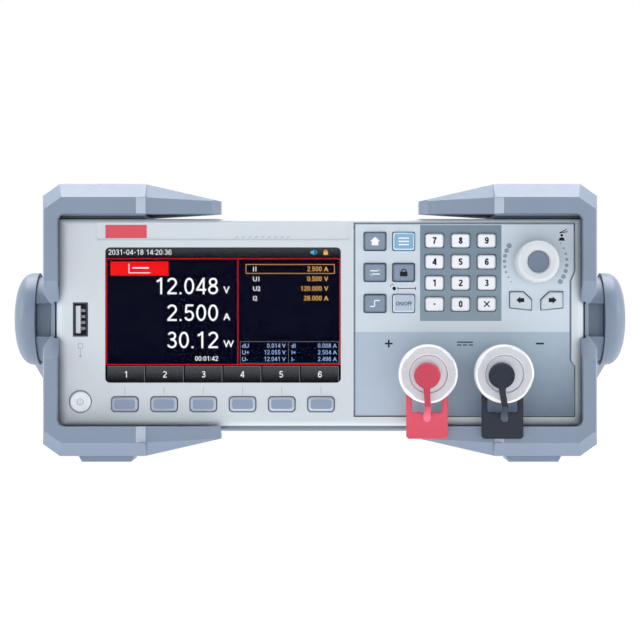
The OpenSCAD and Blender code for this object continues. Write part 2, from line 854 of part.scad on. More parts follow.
// Plug cap that hangs a little askew on its pin, pulled by the strap
module plug(side, shift) {
    r = cap_d / 2;
    at_post(side) {
        translate([0, 0, core_face - 10])
            cylinder(d = socket_d - 0.2, h = cap_out - core_face + 11, $fn = 32);
        translate([shift[0], shift[1], cap_out])
            rotate([0, 0, 35])
                rotate([0, -cap_lean, 0])
                    rotate_extrude()
                        polygon(concat([[0, 0], [r - 0.3, 0], [r, 0.3]],
                            arc(r - cap_r, cap_t - cap_r, cap_r, 0, 90, 5), [[0, cap_t]]));
    }
}

module positive_plug() {
    color([0.8, 0.3, 0.38])
        plug(-1, [-0.3, -0.4]);
}

module negative_plug() {
    color([0.18, 0.23, 0.28])
        plug(1, [-1.2, -0.4]);
}

// Soft fork round the post neck, with the strap that ties the plug cap to it
module fork(side) {
    slot = neck_d / 2 + 0.4;
    w = fork_w / 2;
    bend = -nut_d / 2 - 1.3;
    foot = bend - 6;
    at_post(side) {
        slab(fork_out, fork_out + fork_t)
            polygon(concat([[w, 4], [w - 0.6, 5.5], [slot + 0.3, 5.5], [slot, 4]],
                arc(slot - 1, -14.8, 1, 0, -90, 4), arc(1 - slot, -14.8, 1, -90, -180, 4),
                [[-slot, 4], [-slot - 0.3, 5.5], [-w + 0.6, 5.5], [-w, 4]],
                arc(-w + 1.6, -24.6, 1.6, 180, 270, 4), arc(w - 1.6, -24.6, 1.6, 270, 360, 4)));
        translate([-strap_w / 2, 0, 0])
            rotate([90, 0, 90])
                linear_extrude(strap_w)
                    polygon([[-cap_d / 2 - 1.3, strap_out], [-cap_d / 2 - 1.3, strap_out + strap_t],
                             [bend, strap_out + strap_t], [foot - 1, fork_out + fork_t + strap_t],
                             [foot - 3, fork_out + fork_t + 0.3], [foot - 3, fork_out + 0.5],
                             [foot, fork_out + 0.5], [foot, fork_out + fork_t],
                             [bend + 0.2, strap_out]]);
    }
}

module positive_fork() {
    color([0.8, 0.3, 0.38])
        fork(-1);
}

module negative_fork() {
    color([0.18, 0.23, 0.28])
        fork(1);
}

// Front view of one bumper, right side, about the middle of its height
module bumper_outline(x, half, tip_half) {
    polygon([[tip_x, -tip_half], [rib_x, -half], [x - 6.8, -half], [x, -half + 4.8],
             [x, half - 4.8], [x - 6.8, half], [rib_x, half], [tip_x, tip_half]]);
}

// Front view of its arm, from the tip into the block
module arm_outline(half, tip_half) {
    polygon([[tip_x, -tip_half], [rib_x, -half], [rib_x + 3, -half],
             [rib_x + 3, half], [rib_x, half], [tip_x, tip_half]]);
}

// Corner bumper, right side: bevelled block, stepped arm, lip round the face, pocket for the case
module bumper(back, notched) {
    side = case_w / 2 + fit_gap;
    rib = -bumper_proud + 2;
    difference() {
        union() {
            intersection() {
                translate([0, 0, bumper_z])
                    hull() {
                        along_depth(-bumper_proud, 0.1 - bumper_proud)
                            bumper_outline(bumper_x - 1.5, bumper_half - 5.7, bumper_half - 7.2);
                        along_depth(0, back)
                            bumper_outline(bumper_x, bumper_half, bumper_half - 7);
                    }
                difference() {
                    linear_extrude(300)
                        polygon([[bumper_x + 1, -bumper_proud - 1], [rib_x - 0.6, -bumper_proud - 1],
                                 [rib_x - 0.6, back - 14], [bumper_x - 12, back], [bumper_x + 1, back]]);
                    translate([0, 0, bumper_z - bumper_half + 5.7])
                        linear_extrude(2 * bumper_half - 11.4)
                            polygon([[rib_x - 1, -bumper_proud - 2], [rib_x + 4.9, -bumper_proud - 1],
                                     [rib_x - 0.6, rib], [rib_x - 1, rib]]);
                }
            }
            intersection() {
                translate([0, 0, bumper_z])
                    hull() {
                        along_depth(rib, rib + 0.1)
                            arm_outline(bumper_half - 5.7, bumper_half - 7.4);
                        along_depth(0, back)
                            arm_outline(bumper_half, bumper_half - 7);
                    }
                linear_extrude(300)
                    polygon([[rib_x + 3, rib - 1], [tip_x + 3.4, rib - 1], [tip_x + 3.4, rib],
                             [tip_x, rib + 2.6], [tip_x, 4], [rib_x, back - 14], [rib_x + 3, back - 14]]);
            }
            along_depth(6, 30)
                polygon([[rib_x + 4.2, foot_h + 1], [rib_x + 6.2, 0], [rib_x + 26.2, 0],
                         [rib_x + 28.2, foot_h + 1]]);
        }
        translate([0, 0, bumper_z])
            along_depth(-bumper_proud - 1, 0)
                polygon(round_box(2 * lip_x, 2 * lip_half, 3));
        along_depth(-0.3, back + 1)
            translate([0, case_lift - fit_gap])
                square([side, case_h + 2 * fit_gap]);
        along_depth(-0.3, back + 1)
            translate([0, case_lift - 1.2])
                square([rib_x, bumper_z + lip_half - case_lift + 1.2]);
        if (notched) {
            translate([0, 0, bumper_z])
                along_width(lip_x - 1, bumper_x + 1)
                    polygon([[-bumper_proud - 1, 16.7], [0, 7], [3, 6.4],
                             [3, -6.4], [0, -7], [-bumper_proud - 1, -16.7]]);
            translate([0, 0, bumper_z])
                along_depth(-bumper_proud - 1, pivot_d - boss_d / 2 + 6)
                    polygon([[bumper_x - 3, 6.4], [bumper_x + 1, 13.5],
                             [bumper_x + 1, -13.5], [bumper_x - 3, -6.4]]);
            along_width(case_w / 2 - 1, bumper_x + 1)
                translate([pivot_d, pivot_z])
                    circle(d = boss_d + 1.6);
        }
    }
}

module front_right_bumper() {
    color([0.6, 0.66, 0.74])
        in_case()
            bumper(bumper_back, true);
}

module front_left_bumper() {
    color([0.6, 0.66, 0.74])
        in_case()
            mirror([1, 0, 0])
                bumper(bumper_back, true);
}

module rear_bumpers() {
    color([0.6, 0.66, 0.74])
        in_case()
            translate([0, case_end, 0])
                mirror([0, 1, 0])
                    for (s = [0, 1])
                        mirror([s, 0, 0])
                            bumper(rear_bumper_l, false);
}

module pivot_bosses() {
    color([0.55, 0.6, 0.68])
        in_case()
            for (s = [0, 1])
                mirror([s, 0, 0])
                    translate([case_w / 2, pivot_d, pivot_z]) {
                        difference() {
                            rotate([0, 90, 0])
                                cylinder(d = boss_d, h = boss_l, $fn = 96);
                            translate([-1, -boss_d / 2 - 1, -pivot_rise - 6.8])
                                cube([boss_l + 2, 6.5, 13.6]);
                        }
                        rotate([0, 90, 0])
                            cylinder(d = 12, h = boss_l + 4.5);
                    }
}

// Swing handle: domed hubs on the bosses, tapered arms, flat grip under the case
module handle() {
    drop = grip_z - pivot_z;
    x = hub_x + arm_t;
    t = grip_t / 2;
    g = grip_w / 2 - t;
    color([0.62, 0.68, 0.76])
        in_case()
            difference() {
                union() {
                    for (s = [0, 1])
                        mirror([s, 0, 0])
                            translate([hub_x, pivot_d, pivot_z])
                                rotate([0, 90, 0])
                                    rotate_extrude($fn = 96)
                                        polygon(concat([[0, 0], [hub_d / 2, 0]],
                                            [for (i = [0:8]) [hub_d / 2 * pow(cos(i * 11.25), 0.77),
                                             1.6 + (hub_t - 1.6) * pow(sin(i * 11.25), 0.77)]]));
                    intersection() {
                        translate([0, pivot_d, pivot_z]) {
                            for (s = [0, 1])
                                mirror([s, 0, 0])
                                    along_width(hub_x, x)
                                        polygon(link(12, t, handle_reach - g, drop));
                            along_width(-x, x)
                                translate([handle_reach - g, drop])
                                    polygon(link(t, t, 2 * g, 0.0001));
                        }
                        linear_extrude(300)
                            translate([0, pivot_d + (handle_reach + grip_w / 2 - 30) / 2])
                                polygon(round_box(2 * x, handle_reach + grip_w / 2 + 30, 9));
                    }
                }
                for (s = [0, 1])
                    mirror([s, 0, 0])
                        translate([hub_x - 1, pivot_d, pivot_z])
                            rotate([0, 90, 0])
                                cylinder(d = 12.3, h = 6);
            }
}

module main_board() {
    color([0.1, 0.38, 0.25])
        in_case() {
            translate([board_x, board_y, board_z])
                cube([board_w, board_l, board_t]);
            for (i = [0:5])
                translate([sink_x - transistor_t - 0.2, sink_y + 2.2 + sink_l / 6.5 * i,
                           board_z + board_t / 2])
                    cube([transistor_t, transistor_w, transistor_h]);
            translate([board_x, board_y, board_z + board_t / 2]) {
                for (i = [0:2])
                    translate([18 + 22 * i, 28, 0])
                        cylinder(d = 18, h = 32);
                translate([14, 78, 0])
                    cube([34, 30, 26]);
                translate([14, 128, 0])
                    cube([30, 14, 18]);
                translate([54, 168, 0])
                    cube([20, 40, 12]);
            }
        }
}

module heat_sink() {
    color([0.7, 0.71, 0.73])
        in_case()
            along_depth(sink_y, sink_y + sink_l)
                translate([sink_x, case_lift + sheet_t]) {
                    square([6, sink_h]);
                    for (i = [0:10])
                        translate([5, i * (sink_h - 1.6) / 10])
                            square([sink_w - 5, 1.6]);
                }
}

module mains_transformer() {
    color([0.5, 0.42, 0.3])
        in_case()
            translate([sink_x + core_offset, bezel_d + core_inset, case_lift + sheet_t]) {
                cube([core_w, core_l, core_h]);
                translate([8, -winding, 8])
                    cube([core_w - 16, core_l + 2 * winding, core_h - 16]);
            }
}

module fan_frame() {
    color([0.12, 0.12, 0.13])
        in_case()
            translate([fan_x, fan_y, fan_z])
                rotate([-90, 0, 0]) {
                    difference() {
                        slab(0, fan_t)
                            square([fan_w, fan_w], center = true);
                        translate([0, 0, -1])
                            cylinder(d = fan_w - 3, h = fan_t + 2, $fn = 96);
                        slab(4, fan_t - 4)
                            difference() {
                                square([fan_w + 2, fan_w + 2], center = true);
                                circle(d = fan_w - 0.6, $fn = 96);
                            }
                    }
                    slab(0, 2.5)
                        for (a = [45, 135])
                            rotate(a)
                                square([fan_w - 1, 3], center = true);
                    cylinder(d = 24, h = 3);
                    cylinder(d = 3, h = fan_t - 6);
                }
}

module fan_rotor() {
    color([0.16, 0.16, 0.17])
        in_case()
            translate([fan_x, fan_y, fan_z])
                rotate([-90, 0, 0])
                    difference() {
                        union() {
                            translate([0, 0, 3.6])
                                cylinder(d = 26, h = fan_t - 6);
                            intersection() {
                                for (i = [0:6])
                                    rotate(i * 360 / 7)
                                        translate([10, 0, 4 + (fan_t - 7) / 2])
                                            rotate([40, 0, 0])
                                                translate([0, -9, -0.8])
                                                    cube([fan_w / 2 - 12.5, 18, 1.6]);
                                translate([0, 0, 4])
                                    cylinder(d = fan_w - 5, h = fan_t - 6.5);
                            }
                        }
                        cylinder(d = 3.4, h = fan_t - 5.4);
                    }
}

module rear_connectors() {
    color([0.1, 0.1, 0.11])
        in_case() {
            translate([inlet_x, case_end, fan_z]) {
                difference() {
                    union() {
                        along_depth(-inlet_l, 0)
                            square([inlet_w, inlet_h], center = true);
                        along_depth(0, 2.5)
                            polygon(round_box(inlet_w + 7, inlet_h + 6.2, 4));
                    }
                    along_depth(6 - inlet_l, 3)
                        polygon([[-inlet_w / 2 + 1.7, -8], [inlet_w / 2 - 1.7, -8], [inlet_w / 2 - 1.7, 4.5],
                                 [inlet_w / 2 - 5.2, 8], [5.2 - inlet_w / 2, 8], [1.7 - inlet_w / 2, 4.5]]);
                }
                for (p = [[-7, -2], [7, -2], [0, 2]])
                    along_depth(5 - inlet_l, -4)
                        translate(p)
                            square([2, 4], center = true);
            }
            translate([port_x, case_end, fan_z + port_rise]) {
                along_depth(-10, 5)
                    polygon(round_box(port_w, port_h, 2));
                along_depth(0, 1.2)
                    square([port_w + 12.4, port_h + 2.8], center = true);
            }
            translate([port_x, case_end, fan_z - sense_drop])
                difference() {
                    union() {
                        along_depth(-12, 6)
                            square([sense_w, sense_h], center = true);
                        along_depth(0, 1)
                            square([sense_w + 3, sense_h + 2], center = true);
                    }
                    for (i = [-2:2])
                        along_depth(1, 7)
                            translate([(sense_w - 1) / 5 * i, -1.6])
                                square([3.2, 3.2], center = true);
                }
        }
}

bottom_chassis();
top_cover();
rear_panel();
front_bezel();
control_panel();
display_window();
lcd_module();
front_board();
main_board();
heat_sink();
mains_transformer();
fan_frame();
fan_rotor();
rear_connectors();
usb_socket();
positive_post();
negative_post();
positive_fork();
negative_fork();
positive_washer();
negative_washer();
positive_nut();
negative_nut();
positive_plug();
negative_plug();
front_left_bumper();
front_right_bumper();
rear_bumpers();
pivot_bosses();
handle();
knob_encoder();
encoder_shaft();
knob();
power_button();
arrow_left();
arrow_right();
for (k = KEYS)
    color(k[0][0] == "s" ? [0.57, 0.63, 0.75] : k[0][3] == "_" ? [0.94, 0.94, 0.96] : [0.51, 0.57, 0.67])
            on_face()
                key(k);
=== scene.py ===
"""Looks, light and camera for the bench DC electronic load."""

import math

import bpy
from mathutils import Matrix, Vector


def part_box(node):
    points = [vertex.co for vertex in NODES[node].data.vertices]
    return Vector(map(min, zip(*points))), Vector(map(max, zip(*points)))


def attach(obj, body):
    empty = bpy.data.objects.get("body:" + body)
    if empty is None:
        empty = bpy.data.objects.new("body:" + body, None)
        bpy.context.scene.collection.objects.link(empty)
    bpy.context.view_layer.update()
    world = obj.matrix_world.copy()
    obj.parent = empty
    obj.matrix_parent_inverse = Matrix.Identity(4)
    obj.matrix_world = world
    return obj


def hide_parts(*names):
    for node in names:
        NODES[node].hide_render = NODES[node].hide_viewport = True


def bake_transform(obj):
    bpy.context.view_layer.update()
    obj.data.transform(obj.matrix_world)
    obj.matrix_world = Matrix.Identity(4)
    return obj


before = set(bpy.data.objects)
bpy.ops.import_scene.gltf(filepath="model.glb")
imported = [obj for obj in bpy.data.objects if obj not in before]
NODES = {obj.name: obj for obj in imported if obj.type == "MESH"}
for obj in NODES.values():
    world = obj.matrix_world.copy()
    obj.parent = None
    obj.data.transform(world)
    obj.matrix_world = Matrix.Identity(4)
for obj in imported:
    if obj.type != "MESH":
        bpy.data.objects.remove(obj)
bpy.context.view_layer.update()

MM = 0.001
FACE_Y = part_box("front_bezel")[0][1]
BEZEL_LOW, BEZEL_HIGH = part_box("front_bezel")
BEZEL_Z = (BEZEL_LOW[2] + BEZEL_HIGH[2]) / 2

# Layout on the bezel face, in millimetres from its middle
SCREEN_X, SCREEN_Z, SCREEN_W, SCREEN_H = -39.1, 2.95, 95.0, 54.6
PICTURE_OUT = -2.86
SOFT_PITCH, TICK_Z = 15.8, (-28.9, -26.0)
PANEL_X, PANEL_Z = 58.2, 1.05
POST_X, POST_Z = (42.6, 72.6), -20.25
KNOB_X, KNOB_Z, KNOB_TOP = 86.8, 24.25, 13.0
PANEL_OUT = -0.3
KEY_OUT, POWER_OUT = 1.0, 1.14
FUNCTION_X = (22.15, 33.7)
FUNCTION_Z = (32.6, 20.1, 7.6)
DIGIT_X = (46.1, 56.6, 67.1)
DIGIT_Z = (32.95, 24.42, 15.89, 7.36)
ARROW_X, ARROW_Z, ARROW_HALF = 87.1, 8.65, 6.4
COLUMN_X, USB_Z, POWER_Z = -96.5, 1.15, -31.95
STRIP_Z, STRIP_OUT = 36.6, -0.4
SIGN_Z, PLUS_X, MINUS_X, CURRENT_X = -8.55, 27.7, 88.6, 58.4
INK_LIFT = 0.03
# Border of the control panel, from its middle, with the step in its right side
PANEL_EDGE = ((-44.1, -38.6), (44.1, -38.6), (44.1, -18.6), (42.5, -16.6),
              (42.5, 15.8), (44.1, 19.6), (44.1, 38.6), (-44.1, 38.6))
# Front end of a post's core, the root and crest radius of its thread, and the number of crests
CORE_OUT, THREAD_R, CRESTS = 20.85, (7.42, 7.57), 8

# Fields printed on the control panel, in millimetres of the frame: left, right, low and high edge of
# the keypad field, the heights between which its colour changes, the top of the input field, where
# its colour darkens in x and in height as painted shade, and half the softness of an edge
KEYPAD_FIELD = (40.3, 73.1, 57.1, 95.8)
KEYPAD_FADE = (57.0, 96.0)
INPUT_TOP, INPUT_SLOPE, INPUT_DROP = 52.7, (30.0, 66.0), (50.0, 18.0)
PRINT_EDGE = 0.06
# Painted shade on the narrow ledge of the bumpers beside the bezel, in millimetres: its width, its depth
# out of the bezel face as middle and half, and half the height of the notch in the side that it leaves
# out
GAP_W, LEDGE_OUT, LEDGE_HALF, NOTCH_HALF = 1.3, 1.0, 1.4, 14.0
# Sideways part of the normal of the sloped facet on the bumper arms, which takes a painted highlight,
# and what counts as near it
FACET_TURN, FACET_SLACK = math.sin(math.atan2(3.0, 5.5)), 0.06
# A face looks to the front where the Y of its normal is below this
FACING = -0.8
# Y of the normal between which a face passes from front to edge colour; the edge colours are painted
# light and shade on the turned faces
EDGE_TURN = (-0.985, -0.93)
# Roughness of the noise itself, and how far it spreads the roughness of a surface
NOISE_ROUGH, ROUGH_SPREAD = 0.55, 0.12


def at(x, z, out=0.0):
    """A point on the bezel face: millimetres right, up and out of it."""
    return Vector((x * MM, FACE_Y - out * MM, BEZEL_Z + z * MM))


def rgb(r, g, b):
    """sRGB bytes to linear colour."""
    def one(v):
        v /= 255
        return v / 12.92 if v <= 0.04045 else ((v + 0.055) / 1.055) ** 2.4

    return (one(r), one(g), one(b), 1.0)


# Materials


def new_material(name):
    """An empty material, its node tree and its output node."""
    m = bpy.data.materials.new(name)
    m.use_nodes = True
    tree = m.node_tree
    tree.nodes.clear()
    out = tree.nodes.new("ShaderNodeOutputMaterial")
    return m, tree, out


def link(tree, a, b):
    tree.links.new(a, b)


def noise(tree, coord, scale, detail=3.0):
    n = tree.nodes.new("ShaderNodeTexNoise")
    n.inputs["Scale"].default_value = scale
    n.inputs["Detail"].default_value = detail
    n.inputs["Roughness"].default_value = NOISE_ROUGH
    link(tree, coord, n.inputs["Vector"])
    return n.outputs["Fac"]


def mix_colour(tree, fac, a, b):
    n = tree.nodes.new("ShaderNodeMix")
    n.data_type = "RGBA"
    for value, socket in ((fac, n.inputs["Factor"]), (a, n.inputs["A"]), (b, n.inputs["B"])):
        if isinstance(value, (tuple, float, int)):
            socket.default_value = value
        else:
            link(tree, value, socket)
    return n.outputs["Result"]


def split_xyz(tree, vector):
    """X, Y and Z of a vector, by name."""
    n = tree.nodes.new("ShaderNodeSeparateXYZ")
    link(tree, vector, n.inputs[0])
    return n.outputs


def true_normal(tree):
    """X, Y and Z of the face's own normal."""
    return split_xyz(tree, tree.nodes.new("ShaderNodeNewGeometry").outputs["True Normal"])


def maths(tree, op, a, b=None):
    n = tree.nodes.new("ShaderNodeMath")
    n.operation = op
    for value, socket in ((a, n.inputs[0]), (b, n.inputs[1])):
        if value is None:
            continue
        if isinstance(value, (float, int)):
            socket.default_value = value
        else:
            link(tree, value, socket)
    return n.outputs[0]


def ramp(tree, value, low, high):
    """0 below low, 1 above high, in the value's own units."""
    n = tree.nodes.new("ShaderNodeMapRange")
    n.clamp = True
    n.interpolation_type = "SMOOTHSTEP"
    n.inputs["From Min"].default_value = low
    n.inputs["From Max"].default_value = high
    link(tree, value, n.inputs["Value"])
    return n.outputs["Result"]


def mottled(tree, coord, colour, amount, scale):
    """The colour with soft unevenness of the given share."""
    dark = tuple(c * (1 - amount) for c in colour[:3]) + (1.0,)
    light = tuple(min(1.0, c * (1 + amount)) for c in colour[:3]) + (1.0,)
    return mix_colour(tree, noise(tree, coord, scale), dark, light)


def bumped(tree, coord, scale, strength, distance):
    n = tree.nodes.new("ShaderNodeBump")
    n.inputs["Strength"].default_value = strength
    n.inputs["Distance"].default_value = distance
    link(tree, noise(tree, coord, scale, 2.0), n.inputs["Height"])
    return n.outputs["Normal"]


def surface(name, colour, rough=0.45, metal=0.0, grain=2500.0, bump=0.15, depth=0.00004,
            mottle=0.04, mottle_scale=60.0, edge=None, coat=0.0, specular=0.5, paint=None):
    """Moulded or metal surface with uneven colour and fine grain.

    edge is the colour of faces turned from the front, painted light and shade there: paler as a painted
    highlight, darker as painted shade; paint is a function that adds other colours.
    """
    m, tree, out = new_material(name)
    shader = tree.nodes.new("ShaderNodeBsdfPrincipled")
    coord = tree.nodes.new("ShaderNodeTexCoord").outputs["Object"]
    tint = mottled(tree, coord, colour, mottle, mottle_scale)
    # Painted light and shade: faces turned from the front take the edge colour.
    if edge:
        tint = mix_colour(tree, ramp(tree, true_normal(tree)["Y"], *EDGE_TURN), tint, edge)
    if paint:
        tint = paint(tree, coord, tint)
    link(tree, tint, shader.inputs["Base Color"])
    if bump:
        link(tree, bumped(tree, coord, grain, bump, depth), shader.inputs["Normal"])
    spread = maths(tree, "MULTIPLY_ADD", noise(tree, coord, mottle_scale * 3), ROUGH_SPREAD)
    spread.node.inputs[2].default_value = rough - ROUGH_SPREAD / 2
    link(tree, spread, shader.inputs["Roughness"])
    shader.inputs["Metallic"].default_value = metal
    shader.inputs["Specular IOR Level"].default_value = specular
    shader.inputs["Coat Weight"].default_value = coat
    link(tree, shader.outputs[0], out.inputs["Surface"])
    return m


def lit(name, colour, low=None, z_range=None):
    """Lit display colour; with low and z_range it fades from low at the bottom to colour at the top."""
    m, tree, out = new_material(name)
    glow = tree.nodes.new("ShaderNodeEmission")
    coord = tree.nodes.new("ShaderNodeTexCoord").outputs["Object"]
    if low:
        tint = mix_colour(tree, ramp(tree, split_xyz(tree, coord)["Z"], *z_range), low, colour)
    else:
        tint = mottled(tree, coord, colour, 0.03, 900.0)
    link(tree, tint, glow.inputs["Color"])
    link(tree, glow.outputs[0], out.inputs["Surface"])
    return m


def window_glass(name):
    """Clear pane with a faint reflection."""
    m, tree, out = new_material(name)
    clear = tree.nodes.new("ShaderNodeBsdfTransparent")
    gloss = tree.nodes.new("ShaderNodeBsdfGlossy")
    gloss.inputs["Roughness"].default_value = 0.08
    coord = tree.nodes.new("ShaderNodeTexCoord").outputs["Object"]
    link(tree, bumped(tree, coord, 900.0, 0.02, 0.00001), gloss.inputs["Normal"])
    rim = tree.nodes.new("ShaderNodeFresnel")
    rim.inputs["IOR"].default_value = 1.07
    both = tree.nodes.new("ShaderNodeMixShader")
    link(tree, rim.outputs[0], both.inputs[0])
    link(tree, clear.outputs[0], both.inputs[1])
    link(tree, gloss.outputs[0], both.inputs[2])
    link(tree, both.outputs[0], out.inputs["Surface"])
    return m


def panel_paint(tree, coord, tint):
    """Printed fields on the control panel: the keypad field and the input field, which darkens towards
    the right and the bottom as painted shade.
    """
    xyz = split_xyz(tree, coord)
    x, z = xyz["X"], xyz["Z"]
    left, right, bottom, top = KEYPAD_FIELD

    def above(v, limit):
        return ramp(tree, v, (limit - PRINT_EDGE) * MM, (limit + PRINT_EDGE) * MM)

    def below(v, limit):
        return maths(tree, "SUBTRACT", 1.0, above(v, limit))

    def between(v, limits):
        return ramp(tree, v, limits[0] * MM, limits[1] * MM)

    field = maths(tree, "MULTIPLY", above(x, left), below(x, right))
    field = maths(tree, "MULTIPLY", field, above(z, bottom))
    field = maths(tree, "MULTIPLY", field, below(z, top))
    # Painted shade: the input field darkens towards the right and the bottom.
    input_shade = mix_colour(tree, between(z, INPUT_DROP), rgb(160, 180, 197), rgb(100, 120, 144))
    tint_low = mix_colour(tree, between(x, INPUT_SLOPE), rgb(168, 184, 202), input_shade)
    grain = maths(tree, "MULTIPLY", noise(tree, coord, 220.0), 0.12)
    tint_low = mix_colour(tree, grain, tint_low, rgb(196, 208, 222))
    tint_field = mix_colour(tree, between(z, KEYPAD_FADE), rgb(124, 144, 158), rgb(107, 128, 144))
    tint = mix_colour(tree, below(z, INPUT_TOP), tint, tint_low)
    return mix_colour(tree, field, tint, tint_field)


def bumper_painted_light(tree, coord, tint):
    """Painted light on the bumper: the sloped facet where the arm steps back is paler as a painted
    highlight, and the narrow ledge beside the bezel is dark as painted shade.
    """
    turn = true_normal(tree)
    off = maths(tree, "SUBTRACT", maths(tree, "ABSOLUTE", turn["X"]), FACET_TURN)
    facet = maths(tree, "LESS_THAN", maths(tree, "ABSOLUTE", off), FACET_SLACK)
    facet = maths(tree, "MULTIPLY", facet, maths(tree, "LESS_THAN", turn["Y"], FACING))
    # Painted highlight on the sloped facet.
    tint = mix_colour(tree, facet, tint, rgb(172, 184, 201))
    # Painted shade on the ledge beside the bezel, left out at the notch.
    xyz = split_xyz(tree, coord)
    ledge_shade = 1.0
    for value, middle, half in (
            (xyz["X"], 0.0, BEZEL_HIGH[0] + GAP_W * MM),
            (xyz["Y"], FACE_Y - LEDGE_OUT * MM, LEDGE_HALF * MM),
            (xyz["Z"], BEZEL_Z, BEZEL_HIGH[2] - BEZEL_Z + GAP_W * MM)):
        off = maths(tree, "ABSOLUTE", maths(tree, "SUBTRACT", value, middle))
        ledge_shade = maths(tree, "MULTIPLY", maths(tree, "LESS_THAN", off, half), ledge_shade)
    ledge_shade = maths(tree, "MULTIPLY", maths(tree, "GREATER_THAN", off, NOTCH_HALF * MM), ledge_shade)
    return mix_colour(tree, ledge_shade, tint, rgb(24, 30, 38))


# Grain and unevenness that several of the surfaces share
TOUGH = {"grain": 2600, "bump": 0.22, "depth": 0.00005, "mottle": 0.05}
MOULDED = {"grain": 4200, "bump": 0.08, "depth": 0.00002, "mottle": 0.015}
SMOOTH = {"grain": 2600, "bump": 0.05, "depth": 0.00002, "mottle": 0.015}
SATIN = {"grain": 2600, "bump": 0.06, "depth": 0.00002, "mottle": 0.015}
VINYL = {"grain": 1800, "bump": 0.12, "mottle_scale": 140}

BUMPER = surface("bumper_elastomer", rgb(124, 139, 161), 0.45, paint=bumper_painted_light, **TOUGH)
HANDLE = surface("handle_plastic", rgb(122, 136, 157), 0.42, **TOUGH)
BEZEL = surface("bezel_plastic", rgb(203, 211, 218), 0.42, **MOULDED)
PANEL = surface("panel_plastic", rgb(200, 212, 223), 0.42, paint=panel_paint, **MOULDED)
COVER = surface("cover_paint", rgb(146, 154, 165), 0.5, grain=1500, bump=0.25, depth=0.00006, mottle=0.03)
STEEL = surface("plated_steel", rgb(120, 128, 138), 0.42, metal=0.8, grain=800, bump=0.06, mottle=0.08)
BRIGHT = surface("bright_metal", rgb(190, 194, 200), 0.28, metal=1.0, grain=1200, bump=0.05, mottle=0.06)
CONTACT = surface("contact_metal", rgb(122, 130, 140), 0.4, metal=0.5, grain=1200, bump=0.05, mottle=0.06)
BRASS = surface("turned_brass", rgb(190, 165, 105), 0.32, metal=1.0, grain=1500, bump=0.08, mottle=0.06)
BOARD = surface("board_green", rgb(32, 92, 62), 0.4, grain=900, bump=0.12, mottle=0.12, mottle_scale=200)
SINK = surface("heat_sink_metal", rgb(170, 174, 180), 0.4, metal=0.9, grain=700, bump=0.1, mottle=0.08)
CORE = surface("transformer_varnish", rgb(96, 84, 66), 0.5, grain=700, bump=0.2, mottle=0.15)
SHELL = surface("socket_shell", rgb(58, 64, 72), 0.4, metal=0.6, grain=1200, bump=0.05, mottle=0.08)
BLACK = surface("black_plastic", rgb(34, 36, 40), 0.5, grain=2500, bump=0.15, mottle=0.08)
SOCKET = surface("socket_plastic", rgb(206, 212, 218), 0.45, grain=2500, bump=0.08, mottle=0.03)
RED = surface("red_pvc", rgb(210, 66, 92), 0.42, mottle=0.06, **VINYL)
CAP_RED = surface("cap_red_pvc", rgb(184, 52, 74), 0.42, mottle=0.06, **VINYL)
DARK = surface("dark_pvc", rgb(12, 25, 44), 0.45, mottle=0.08, specular=0.35, **VINYL)
# The nut's edge colour is a painted highlight on its rim and flats.
NUT = surface("nut_plastic", rgb(199, 201, 209), 0.27, coat=0.35, edge=rgb(250, 251, 253), **SMOOTH)
POST = surface("post_plastic", rgb(214, 216, 225), 0.3, **SMOOTH)
KNOB = surface("knob_plastic", rgb(206, 211, 217), 0.38, **SATIN)
BUTTON = surface("button_plastic", rgb(234, 239, 245), 0.4, **SATIN)
DIMPLE = surface("dimple_plastic", rgb(102, 116, 137), 0.45, grain=2600, bump=0.12, mottle=0.04)
# The edge colours of the keys are painted light and shade on their sloped sides: a painted highlight on
# the softkeys, the menu key and the input key, painted shade on the function, digit and arrow keys.
SOFTKEY = surface("softkey_silicone", rgb(132, 148, 174), 0.5, grain=3000, bump=0.12, mottle=0.03,
                  edge=rgb(176, 187, 204))
FUNCTION = surface("function_silicone", rgb(121, 138, 161), 0.5, grain=3000, bump=0.12, mottle=0.03,
                   edge=rgb(98, 113, 134))
MENU = surface("menu_silicone", rgb(122, 170, 203), 0.5, grain=3000, bump=0.1, mottle=0.03,
               edge=rgb(190, 222, 244))
PALE = surface("pale_silicone", rgb(176, 192, 213), 0.5, grain=3000, bump=0.1, mottle=0.03,
               edge=rgb(206, 218, 234))
DIGIT = surface("keypad_silicone", rgb(236, 238, 244), 0.48, grain=3000, bump=0.1, mottle=0.012,
                edge=rgb(214, 220, 230))
ARROW = surface("arrow_silicone", rgb(196, 206, 214), 0.48, grain=3000, bump=0.1, mottle=0.012,
                edge=rgb(190, 202, 214))
INK = surface("dark_print", rgb(16, 20, 28), 0.6, grain=3000, bump=0.05, mottle=0.06, specular=0.2)
SLATE_INK = surface("slate_print", rgb(132, 150, 168), 0.55, grain=3000, bump=0.05, mottle=0.05)
PALE_INK = surface("pale_print", rgb(240, 243, 248), 0.55, grain=3000, bump=0.05, mottle=0.02)
LINE_INK = surface("line_print", rgb(158, 172, 190), 0.55, grain=3000, bump=0.05, mottle=0.04)
ACCENT = surface("accent_print", rgb(214, 66, 84), 0.45, grain=3000, bump=0.05, mottle=0.04)
GLASS = window_glass("display_glass")

